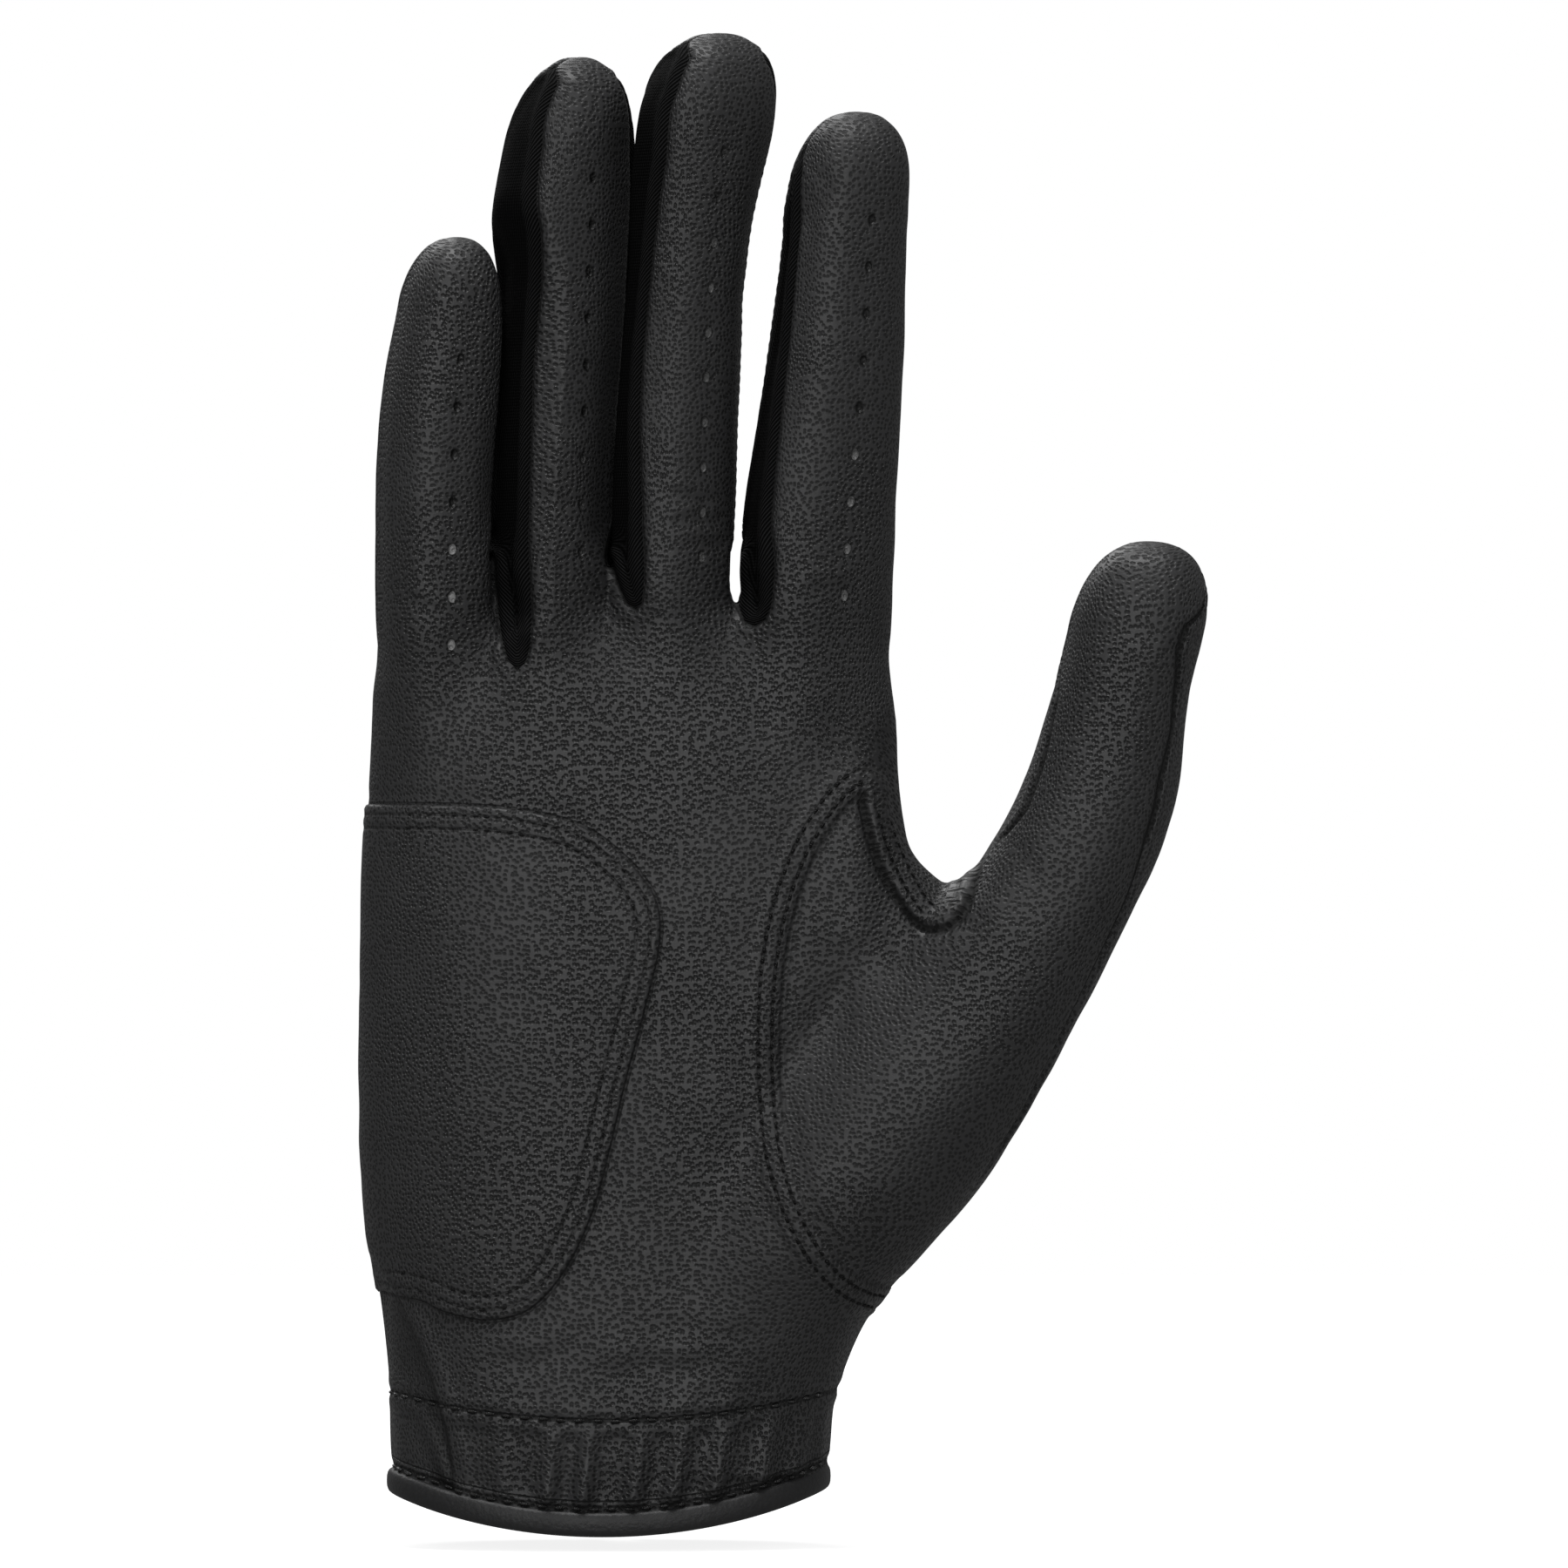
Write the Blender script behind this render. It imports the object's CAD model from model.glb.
"""Looks for the golf glove.

One smooth skin is made from a height-by-height description of the hand,
then cut into its leather and knit pieces.
"""

import math

import bpy
import numpy as np
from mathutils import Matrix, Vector


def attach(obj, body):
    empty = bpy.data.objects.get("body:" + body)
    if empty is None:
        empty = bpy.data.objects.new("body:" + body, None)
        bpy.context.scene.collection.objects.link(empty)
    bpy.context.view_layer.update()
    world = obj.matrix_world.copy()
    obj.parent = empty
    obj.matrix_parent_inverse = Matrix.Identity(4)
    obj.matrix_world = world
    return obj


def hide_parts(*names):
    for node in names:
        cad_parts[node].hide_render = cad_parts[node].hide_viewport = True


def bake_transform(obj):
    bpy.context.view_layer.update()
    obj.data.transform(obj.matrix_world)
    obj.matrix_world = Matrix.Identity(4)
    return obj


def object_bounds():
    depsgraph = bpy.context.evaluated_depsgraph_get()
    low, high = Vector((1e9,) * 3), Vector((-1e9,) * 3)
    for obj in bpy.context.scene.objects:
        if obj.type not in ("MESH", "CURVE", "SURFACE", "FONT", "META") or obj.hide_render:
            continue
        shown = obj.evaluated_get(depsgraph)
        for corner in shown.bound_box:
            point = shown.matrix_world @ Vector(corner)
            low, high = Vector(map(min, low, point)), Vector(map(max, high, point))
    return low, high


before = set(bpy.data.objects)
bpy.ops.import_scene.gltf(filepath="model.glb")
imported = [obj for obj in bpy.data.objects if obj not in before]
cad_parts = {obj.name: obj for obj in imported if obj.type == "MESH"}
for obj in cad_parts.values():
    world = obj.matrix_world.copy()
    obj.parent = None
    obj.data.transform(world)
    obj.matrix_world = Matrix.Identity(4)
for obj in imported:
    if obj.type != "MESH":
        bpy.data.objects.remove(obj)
CAD_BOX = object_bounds()
MM = 0.001
STEP = 0.55

# ---------------------------------------------------------------------------
# The hand's form, in millimetres. Rows are: height, left x, right x, centre y, half depth, twist in degrees.
# Twist turns a finger's left side towards the palm's side.
# ---------------------------------------------------------------------------
INDEX = [
    (100, 24.0, 37.5, -0.5, 6.0, 16), (118, 20.4, 40.2, -0.6, 8.0, 20),
    (127, 19.3, 41.2, -0.8, 8.8, 22), (136.5, 19.0, 41.6, -1.0, 9.2, 23),
    (147, 20.0, 42.0, -1.2, 9.2, 23), (160, 22.2, 42.8, -1.3, 8.9, 22),
    (173, 24.3, 43.5, -1.4, 8.6, 21), (188, 25.8, 44.0, -1.5, 8.3, 20),
    (199, 27.2, 44.5, -1.6, 8.0, 20), (208, 28.8, 44.8, -1.6, 7.8, 20),
]
MIDDLE = [
    (100, 2.0, 15.0, -0.5, 6.0, 28), (120, -0.2, 17.2, -0.8, 8.4, 34),
    (136.5, -0.9, 18.2, -1.6, 9.3, 38), (152, -0.6, 18.2, -1.6, 9.2, 38),
    (165, 0.3, 18.4, -1.6, 9.1, 37), (180, 1.5, 19.1, -1.6, 9.0, 36), (194, 2.4, 21.0, -1.6, 8.7, 34),
    (204, 3.2, 23.6, -1.6, 8.5, 33), (210, 4.8, 24.4, -1.6, 8.3, 33), (220, 7.0, 26.0, -1.6, 8.0, 33),
]
RING = [
    (100, -16.0, -4.0, -0.6, 6.0, 30), (120, -18.3, -1.6, -1.2, 8.2, 38),
    (136, -19.2, 1.0, -2.0, 9.1, 42), (152, -19.4, 1.9, -2.4, 9.1, 43),
    (165, -19.2, 2.2, -2.5, 9.0, 43), (180, -18.8, 3.6, -2.4, 8.9, 41),
    (194, -17.4, 4.2, -2.2, 8.7, 40), (204, -15.2, 3.4, -2.2, 8.4, 38),
    (216, -12.6, 3.4, -2.2, 7.8, 38),
]
LITTLE = [
    (96, -32.0, -22.0, -0.6, 6.0, 14), (112, -33.6, -19.6, -1.6, 7.4, 20),
    (127, -34.4, -18.2, -2.8, 8.2, 22), (142, -34.5, -17.9, -3.6, 8.3, 22),
    (155, -34.3, -17.6, -3.8, 8.2, 22), (168, -33.7, -16.0, -3.8, 7.9, 21),
    (178, -31.6, -15.6, -3.6, 7.5, 20), (189, -29.4, -16.4, -3.4, 7.0, 20),
]
THUMB = [
    (14, 2.0, 29.0, -0.5, 13.0, 0), (27.3, 7.0, 36.6, -2.0, 14.6, 0), (37.7, 11.0, 46.3, -3.4, 15.6, 0),
    (48, 16.0, 55.4, -4.2, 15.8, 0), (58.5, 23.0, 62.0, -4.6, 15.2, 0), (69, 31.0, 67.8, -4.6, 14.2, 0),
    (79.3, 39.5, 73.2, -4.4, 13.0, 0), (89.7, 50.0, 78.3, -4.2, 11.9, 0),
    (93, 52.7, 80.0, -4.2, 11.6, 0), (96.5, 55.2, 81.5, -4.2, 11.3, 0),
    (101, 57.9, 83.2, -4.2, 11.0, 0), (105, 60.2, 84.3, -4.2, 10.7, 0),
    (110.5, 62.5, 85.2, -4.2, 10.3, 0), (121, 65.9, 86.0, -4.3, 9.7, 0),
    (131, 68.5, 88.6, -4.5, 9.0, 0), (143, 70.8, 90.2, -4.8, 8.4, 0),
]
PALM = [
    (-14, -31.4, 30.6, 0.0, 18.4, 0), (1, -32.2, 31.6, 0.0, 18.5, 0), (7, -33.0, 32.4, 0.0, 18.5, 0),
    (17, -33.0, 33.2, 0.3, 18.2, 0), (22, -33.2, 34.0, 0.5, 18.0, 0), (32.5, -34.4, 36.4, 0.6, 17.7, 0),
    (43, -36.0, 38.6, 0.6, 17.3, 0), (60, -37.0, 41.0, 0.3, 16.6, 0), (85, -37.0, 42.3, -0.1, 15.0, 0),
    (105, -36.1, 42.2, -0.5, 13.0, 0), (118, -34.9, 41.3, -0.8, 11.2, 0),
    (128, -34.2, 41.0, -1.0, 9.4, 0), (136, -34.0, 41.0, -1.0, 8.4, 0),
]
# name: rows, section exponent, where the rounded top starts, height of the rounding
TUBES = {
    "little": (LITTLE, 2.35, 179.6, 9.7),
    "ring": (RING, 2.3, 202.0, 14.1),
    "middle": (MIDDLE, 2.3, 206.6, 13.1),
    "index": (INDEX, 2.5, 196.0, 12.0),
    "thumb": (THUMB, 2.3, 131.0, 12.9),
    "palm": (PALM, 2.5, 119.0, 15.0),
}
FINGER_ORDER = ["little", "ring", "middle", "index"]
CROTCH = [124.5, 137.5, 131.6]  # little-ring, ring-middle, middle-index
TIP_Z = {"little": 189.3, "ring": 216.1, "middle": 219.7, "index": 208.0, "thumb": 143.9}
GAP = 1.0  # between two fingers
NARROWEST = 0.35  # a knit strip with a smaller half width is a plain seam
FAR = 1e3  # a distance for points that a line doesn't reach
CLEAR = 30.0  # a sewn line farther off than this doesn't show
SEAM_END = 55.5  # where the thumb's front seam ends, in x
FINGER_FLOOR, FINGER_SIDE = 118, 48  # fingers are cut above and to the left of these
# how much each gap between fingers slants, the left one coming forward over the right
OVERLAP = (0.9, -0.5, 0.2)
PIECE_CUTS = {
    "little": (127.6, 141.0, 164.0), "ring": (136.4, 153.5, 183.3), "middle": (136.4, 155.0, 186.0),
    "index": (133.6, 151.0, 178.8),
}
HEM_RADIUS = 88.0
HEM_LOW = -3.5
BINDING = 3.5
Z_TABLE = np.arange(-20.0, 240.0, 0.5)


def profile(rows, soft=4.0):
    """The rows as smooth columns on an even ladder of heights."""
    rows = np.array(rows, float)
    reach = np.arange(-24, 25)
    weight = np.exp(-0.5 * (reach * 0.5 / soft) ** 2)
    weight /= weight.sum()
    out = []
    for k in range(1, rows.shape[1]):
        line = np.interp(np.arange(-40.0, 260.0, 0.5), rows[:, 0], rows[:, k])
        line = np.convolve(line, weight, mode="same")
        out.append(np.interp(Z_TABLE, np.arange(-40.0, 260.0, 0.5), line))
    return np.array(out)


PROFILES = {}
for tube_name, tube in TUBES.items():
    left, right, cy, hd, twist = profile(tube[0], 2.5 if tube_name == "thumb" else 4.0)
    phi = np.radians(twist)
    reach = (right - left) / 2
    width = np.sqrt(np.maximum(reach**2 - (hd * np.sin(phi)) ** 2, 1.0)) / np.cos(phi)
    PROFILES[tube_name] = np.array([(left + right) / 2, width, cy, hd, phi])


def local(name, x, y, z):
    """A tube's own coordinates: across, front to back (negative in front), half width and half depth."""
    cx, w, cy, d, phi = (np.interp(z, Z_TABLE, column) for column in PROFILES[name])
    dx, dy = x - cx, y - cy
    c, s = np.cos(phi), np.sin(phi)
    return dx * c + dy * s, -dx * s + dy * c, w, d


def tube_distance(name, x, y, z):
    """Signed distance, near enough, to one tube with its rounded top."""
    _, power, start, height = TUBES[name]
    across, along, w, d = local(name, x, y, z)
    up = np.maximum(z - start, 0.0) / height
    a = np.abs(across) / w + 1e-6
    b = np.abs(along) / d + 1e-6
    total = a**power + b**power + up**power
    q = total ** (1 / power)
    steep = np.sqrt(
        (a ** (power - 1) / w) ** 2 + (b ** (power - 1) / d) ** 2 + (up ** (power - 1) / height) ** 2
    )
    steep = steep / q ** (power - 1)
    return np.clip((q - 1) / np.maximum(steep, 0.02), -25, 25)


def blend_min(a, b, k):
    h = np.clip(0.5 + 0.5 * (b - a) / k, 0, 1)
    return b * (1 - h) + a * h - k * h * (1 - h)


def smooth(t):
    t = np.clip(t, 0, 1)
    return t * t * (3 - 2 * t)


def near(name, x, y, z, margin=9.0):
    """Which points lie in a tube's neighbourhood."""
    rows = np.array(TUBES[name][0])
    top = TUBES[name][2] + TUBES[name][3] + margin
    return (
        (z > rows[0, 0] - margin) & (z < top) & (x > rows[:, 1].min() - margin)
        & (x < rows[:, 2].max() + margin)
    )


def tube_at(name, x, y, z):
    out = np.full(x.shape, 25.0, np.float32)
    mask = near(name, x, y, z)
    out[mask] = tube_distance(name, x[mask], y[mask], z[mask])
    return out


def finger_split(x, y, z):
    """The nearest pair of fingers, a point's own one, that one's distance, and how far the gap is."""
    fields = np.stack([tube_at(n, x, y, z) for n in FINGER_ORDER])
    order = np.argsort(fields, axis=0)[:2]
    low, high = order.min(0), order.max(0)
    f_low = np.take_along_axis(fields, low[None], 0)[0]
    f_high = np.take_along_axis(fields, high[None], 0)[0]
    open_ = smooth((z - np.array([*CROTCH, CROTCH[2]])[low] - 1.0) / 8.0)
    side = f_high - f_low - np.array([*OVERLAP, 0.0])[low] * (y + 1.5) * open_
    owner = np.where(side > 0, low, high)
    return low, owner, np.where(side > 0, f_low, f_high), np.abs(side)


def skin_distance(x, y, z):
    """Signed distance to the glove's outside before its seams and folds are worked in."""
    pair, _, nearest, apart = finger_split(x, y, z)
    crotch = np.array([*CROTCH, CROTCH[2]])[pair]
    open_ = smooth((z - crotch + 1.0) / 5.0)
    gap = GAP * open_ - 6.0 * (1 - open_)
    wall = (gap - apart) / 2
    fingers = -blend_min(-nearest, -wall, 1.2)
    palm = tube_at("palm", x, y, z)
    hand = blend_min(fingers, palm, 4.0)
    hand = blend_min(hand, tube_at("thumb", x, y, z), 6.0)
    m = (x > 24) & (x < 70) & (z > 62) & (z < 124)
    rim = outline_distance(x[m], z[m], WEB_OUTLINE)
    t = np.maximum(rim + 8.0, 0) / 8.0
    depth = np.interp(z[m], [86, 100, 114], [9.0, 7.0, 4.0])
    web = (np.sqrt(t * t + ((y[m] + 2.5) / depth) ** 2) - 1) * 6.0
    hand[m] = blend_min(hand[m], web, 8.0 - 5.0 * smooth((x[m] - 36.0) / 9.0))
    return hand


def surface_nets(low, high, step, level=0.0):
    """Vertices and quads of the skin on an even grid, levelled at a distance from it."""
    axes = [np.arange(a, b + step, step, dtype=np.float32) for a, b in zip(low, high)]
    shape = tuple(len(a) for a in axes)
    field = np.empty(shape, np.float32)
    for i, x in enumerate(axes[0]):
        yy, zz = np.meshgrid(axes[1], axes[2], indexing="ij")
        field[i] = skin_distance(np.full(yy.shape, x, np.float32), yy, zz) - level
    inside = field < 0
    count = np.zeros(tuple(s - 1 for s in shape), np.uint8)
    corners = [(i, j, k) for i in (0, 1) for j in (0, 1) for k in (0, 1)]
    for i, j, k in corners:
        count += inside[i : shape[0] - 1 + i, j : shape[1] - 1 + j, k : shape[2] - 1 + k]
    active = (count > 0) & (count < 8)
    cells = np.argwhere(active)
    index = np.full(active.shape, -1, np.int32)
    index[active] = np.arange(len(cells))
    value = {c: field[cells[:, 0] + c[0], cells[:, 1] + c[1], cells[:, 2] + c[2]] for c in corners}
    total = np.zeros((len(cells), 3))
    hits = np.zeros(len(cells))
    for c in corners:
        for axis in range(3):
            if c[axis]:
                continue
            e = tuple(v + (1 if k == axis else 0) for k, v in enumerate(c))
            a, b = value[c], value[e]
            cross = (a < 0) != (b < 0)
            t = np.where(cross, a / np.where(cross, a - b, 1), 0)
            point = np.tile(np.array(c, float), (len(cells), 1))
            point[:, axis] += t
            total += point * cross[:, None]
            hits += cross
    origin = np.array([a[0] for a in axes])
    verts = origin + (cells + total / hits[:, None]) * step
    quads = []
    for axis in range(3):
        u, v = (axis + 1) % 3, (axis + 2) % 3
        lo = [slice(None)] * 3
        hi = [slice(None)] * 3
        lo[axis], hi[axis] = slice(0, -1), slice(1, None)
        a, b = inside[tuple(lo)], inside[tuple(hi)]
        edges = np.argwhere(a != b)
        ok = (edges[:, u] > 0) & (edges[:, v] > 0)
        ok &= (edges[:, u] < shape[u] - 1) & (edges[:, v] < shape[v] - 1)
        edges = edges[ok]
        ring = []
        for du, dv in ((0, 0), (-1, 0), (-1, -1), (0, -1)):
            cell = edges.copy()
            cell[:, u] += du
            cell[:, v] += dv
            ring.append(index[cell[:, 0], cell[:, 1], cell[:, 2]])
        ring = np.stack(ring, 1)
        flip = ~a[edges[:, 0], edges[:, 1], edges[:, 2]]
        ring[flip] = ring[flip][:, ::-1]
        quads.append(ring)
    quads = np.concatenate(quads)
    return verts, quads[(quads >= 0).all(1)]


def gradient(function, p, e=0.15):
    g = np.empty_like(p)
    for k in range(3):
        step = np.zeros(3)
        step[k] = e
        a, b = p + step, p - step
        g[:, k] = (function(*a.T) - function(*b.T)) / (2 * e)
    return g


def relax(verts, quads, level, rounds=3):
    """Evens out the mesh along the skin and settles it exactly on it."""
    edges = np.concatenate([quads[:, [0, 1]], quads[:, [1, 2]], quads[:, [2, 3]], quads[:, [3, 0]]])
    edges = np.concatenate([edges, edges[:, ::-1]])
    degree = np.bincount(edges[:, 0], minlength=len(verts))
    for _ in range(rounds):
        mean = (
            np.stack([np.bincount(edges[:, 0], verts[edges[:, 1], k], len(verts)) for k in range(3)], 1)
            / degree[:, None]
        )
        verts = verts * 0.35 + mean * 0.65
        g = gradient(skin_distance, verts)
        f = skin_distance(*verts.T) - level
        size = np.maximum((g * g).sum(1), 0.05)
        move = -(f / size)[:, None] * g
        length = np.maximum(np.linalg.norm(move, axis=1), 1e-9)
        verts = verts + move * np.minimum(1, 0.8 / length)[:, None]
    return verts


def cut(verts, tris, s, snap=0.03):
    """Splits every triangle that the line s = 0 crosses."""
    s = np.where(np.abs(s) < snap, 0.0, s)
    sign = np.sign(s)[tris]
    crossed = (sign.min(1) < 0) & (sign.max(1) > 0)
    keep, work, sign = tris[~crossed], tris[crossed], sign[crossed]
    if not len(work):
        return verts, tris
    has_zero = (sign == 0).any(1)
    lone = np.where(has_zero, np.argmax(sign == 0, axis=1), 0)
    for k in range(3):
        a, b = (k + 1) % 3, (k + 2) % 3
        alone = ~has_zero & (sign[:, a] == sign[:, b]) & (sign[:, k] != sign[:, a])
        lone[alone] = k
    rows = np.arange(len(work))
    v0, v1, v2 = work[rows, lone], work[rows, (lone + 1) % 3], work[rows, (lone + 2) % 3]
    sides = ((v1, v2, has_zero), (v0, v1, ~has_zero), (v0, v2, ~has_zero))
    pairs = np.concatenate([np.stack([a[m], b[m]], 1) for a, b, m in sides])
    ordered = np.sort(pairs, 1)
    key = ordered[:, 0].astype(np.int64) * len(verts) + ordered[:, 1]
    unique, inverse = np.unique(key, return_inverse=True)
    a, b = unique // len(verts), unique % len(verts)
    t = s[a] / (s[a] - s[b])
    fresh = verts[a] + (verts[b] - verts[a]) * t[:, None]
    ids = inverse + len(verts)
    nz, nl = has_zero.sum(), (~has_zero).sum()
    m12, m01, m02 = ids[:nz], ids[nz : nz + nl], ids[nz + nl :]
    z0, z1, z2 = v0[has_zero], v1[has_zero], v2[has_zero]
    l0, l1, l2 = v0[~has_zero], v1[~has_zero], v2[~has_zero]
    new = [
        np.stack([z0, z1, m12], 1), np.stack([z0, m12, z2], 1), np.stack([l0, m01, m02], 1),
        np.stack([m01, l1, l2], 1), np.stack([m01, l2, m02], 1),
    ]
    return np.concatenate([verts, fresh]), np.concatenate([keep, *new])


# ---------------------------------------------------------------------------
# Where each piece of leather and knit begins and ends
# ---------------------------------------------------------------------------
# Half widths of the knit strip on a finger's left side, by height; its half width on the right side;
# then how the strip closes at the tip: how far below it the strip ends, and over what length.
STRIP = {
    "little": (((120, 0.0), (190, 0.0)), 4.0, (2.0, 12.0)),
    "ring": (
        ((130, 5.4), (150, 5.2), (170, 5.2), (190, 6.9), (203, 6.0), (211, 3.8), (215, 2.4)), 4.4, (0.2, 4.0)
    ),
    "middle": (
        (
            (130, 5.6), (142, 6.1), (149, 6.2), (159, 5.2), (170, 4.8), (180, 5.1), (190, 5.9),
            (201, 6.9), (211, 6.0), (219, 2.6),
        ),
        4.4, (0.2, 4.0),
    ),
    "index": (((130, 5.0), (148, 5.0), (162, 3.9), (176, 3.1), (190, 2.8), (203, 1.2)), 0.0, (2.0, 8.0)),
}
# The rounded bottoms of the knit between two fingers, in the front view.
CROTCH_KNIT = [
    [
        (-18.1, 158), (-17.8, 150), (-17.6, 144), (-17.2, 138), (-16.7, 133), (-16.0, 129),
        (-15.1, 126.2), (-13.7, 124.8), (-12.5, 126), (-11.8, 128.8), (-11.8, 134), (-12.1, 140),
        (-12.4, 146), (-12.4, 158),
    ],
    [
        (-1.4, 160), (-1.2, 150), (-0.9, 145), (-0.1, 140.5), (1.1, 137), (2.3, 134.8), (3.6, 133.9),
        (4.6, 134.8), (4.9, 137.5), (4.9, 145), (5.0, 150), (4.8, 160),
    ],
    [
        (18.2, 158), (18.4, 138), (18.9, 134.4), (19.8, 132.2), (21.2, 131.5), (22.8, 132.2),
        (23.8, 134.4), (24.2, 138), (24.6, 158),
    ],
]
# name: lowest hole's height, pitch, how many, how far across from the finger's front ridge,
# height above which they are open, how pale the open ones and the ones below are
HOLES = {
    "little": (128.6, 7.07, 7, -0.3, 146.0, 0.01, 1.0), "ring": (142.4, 6.94, 9, -1.7, 160.0, 0.0, 0.08),
    "middle": (141.6, 6.69, 10, -0.8, 190.0, 0.06, 0.28), "index": (135.9, 6.99, 9, 1.1, 161.0, 0.0, 0.5),
}
OUTER = {"little": (2.5, 0.0), "ring": (1.5, 0.0), "middle": (1.8, 0.0), "index": (0.0, 3.0)}
THUMB_SEAM = [
    (37.8, 106.6), (35.2, 104.6), (31.4, 99.0), (29.0, 93.6), (27.1, 87.4), (25.8, 79.8), (25.3, 71.1),
    (25.5, 63.4), (26.2, 55.7), (27.6, 49.4), (29.9, 43.6), (32.4, 39.3), (35.0, 36.1), (38.2, 34.0),
    (41.3, 33.0), (46.0, 32.2),
]
THUMB_WEB = [
    (54.0, 93.6), (53.2, 91.0), (52.0, 88.6), (50.0, 86.9), (47.6, 86.5), (45.4, 87.7), (43.3, 90.4),
    (41.1, 94.2), (39.4, 98.2), (38.3, 102.4), (37.7, 105.6),
]
WEB_SHAPE = [
    (40.2, 118.0), (41.9, 109.5), (42.9, 104.5), (44.0, 100.0), (45.6, 96.8), (48.0, 94.4),
    (50.2, 92.9), (52.4, 91.5), (56.0, 89.5), (60.0, 84.0), (54.0, 72.0), (42.0, 70.0), (34.0, 80.0),
    (31.0, 98.0), (33.0, 112.0),
]
PATCH = [
    (-46.0, 104.9), (-27.0, 104.8), (-16.8, 104.4), (-9.2, 103.2), (-4.3, 101.7), (-0.3, 99.2),
    (4.2, 95.0), (7.2, 90.0), (7.4, 83.5), (5.2, 74.0), (2.4, 63.5), (0.2, 54.0), (-2.4, 44.5),
    (-6.4, 36.0), (-11.6, 30.2), (-18.0, 28.4), (-24.6, 29.6), (-30.0, 31.6), (-46.0, 33.0),
]
SLIT_TOP = 50.0
SLIT_HALF = (4.0, 1.0)


def curve_through(points, per=8, closed=False):
    """A smooth line through points, evenly divided between them."""
    p = np.array(points, float)
    n = len(p)
    out = []
    last = n if closed else n - 1
    for i in range(last):
        a, b, c, d = (p[(i + k) % n] if closed else p[min(max(i + k, 0), n - 1)] for k in (-1, 0, 1, 2))
        for t in np.arange(per) / per:
            out.append(
                0.5
                * (2 * b + (c - a) * t + (2 * a - 5 * b + 4 * c - d) * t * t + (3 * b - a - 3 * c + d) * t**3)
            )
    if not closed:
        out.append(p[-1])
    return np.array(out)


def outline_distance(x, z, line):
    """Distance to a closed outline in the front view, negative inside it."""
    best = np.full(x.shape, 1e9)
    inside = np.zeros(x.shape, bool)
    for a, b in zip(line, np.roll(line, -1, axis=0)):
        d = b - a
        t = np.clip(((x - a[0]) * d[0] + (z - a[1]) * d[1]) / (d @ d), 0, 1)
        best = np.minimum(best, (x - a[0] - t * d[0]) ** 2 + (z - a[1] - t * d[1]) ** 2)
        straddles = (a[1] > z) != (b[1] > z)
        if straddles.any() and d[1] != 0:
            inside ^= straddles & (x < a[0] + (z - a[1]) * d[0] / d[1])
    return np.sqrt(best) * np.where(inside, -1, 1)


def slit_distance(x, z):
    """Distance to the wedge left open on the back of the wrist, negative inside it."""
    half = SLIT_HALF[0] + (SLIT_HALF[1] - SLIT_HALF[0]) * np.clip(z / SLIT_TOP, -0.3, 1)
    return np.maximum(np.abs(x) - half, z - SLIT_TOP)


PATCH_LINE = curve_through(PATCH)
WEB_OUTLINE = curve_through(WEB_SHAPE, per=4, closed=True)
WEB_LINE = curve_through(THUMB_WEB)
THUMB_LINE = np.concatenate(
    [curve_through(THUMB_SEAM), [(110, 25), (110, 150), (60, 150), (60, 104)], curve_through(THUMB_WEB)]
)
PALM_EDGE = np.concatenate([[(49.0, 121.0)], curve_through(THUMB_SEAM), [(110, 25), (110, 150)]])
WEB_EDGE = np.concatenate(
    [[(110, 104), (60, 104)], curve_through(THUMB_WEB), [(35.0, 121.0), (-20, 121), (-20, 10), (110, 10)]]
)


def hem_line(x):
    """Height of the hem's edge, an arc."""
    return HEM_LOW + HEM_RADIUS - np.sqrt(np.maximum(HEM_RADIUS**2 - (x + 1) ** 2, 0))


def hem_height(x, y, z):
    """Height above the hem's edge."""
    return z - hem_line(x)


def cuff_line(x):
    return 13.6 + 0.0035 * (x + 0.5) ** 2


def finger_label(x, y, z):
    return finger_split(x, y, z)[1]


def seam_fields(x, y, z):
    """A point's finger, its depth behind the finger's side line, and the strip's half width there."""
    label = finger_label(x, y, z)
    u = np.zeros(x.shape)
    half = np.zeros(x.shape)
    for k, name in enumerate(FINGER_ORDER):
        m = label == k
        if not m.any():
            continue
        across, along, w, _ = local(name, x[m], y[m], z[m])
        side = smooth(across / w * 1.2 + 0.5)
        middle = OUTER[name][0] * (1 - side) + OUTER[name][1] * side
        top = TIP_Z[name]
        low = PIECE_CUTS[name][0] - 5.0
        left_rows, right_width, (short, fade) = STRIP[name]
        near_tip = smooth((top - short - z[m]) / fade)
        left_width = np.interp(z[m], *np.array(left_rows, float).T)
        width = (left_width * (1 - side) + right_width * side) * near_tip
        u[m] = along - middle * smooth((top - z[m]) / 12.0)
        half[m] = width * (0.5 + 0.5 * smooth((z[m] - low) / 6.0))
    hand = smooth((132.0 - z) / 12.0)
    body = y - 2.5
    u = u * (1 - hand) + body * hand
    m = (z > 112) & (z < 148) & (y < 1)
    pocket = np.full(m.sum(), FAR)
    for outline in CROTCH_KNIT:
        pocket = np.minimum(pocket, outline_distance(x[m], z[m], np.array(outline, float)))
    share = (
        smooth((148 - z[m]) / 7) * smooth((z[m] - 112) / 6) * smooth((1 - y[m]) / 3)
        * smooth((6 - pocket) / 4)
    )
    u[m] = u[m] * (1 - share) + (-pocket - half[m]) * share
    return label, u, half


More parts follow.
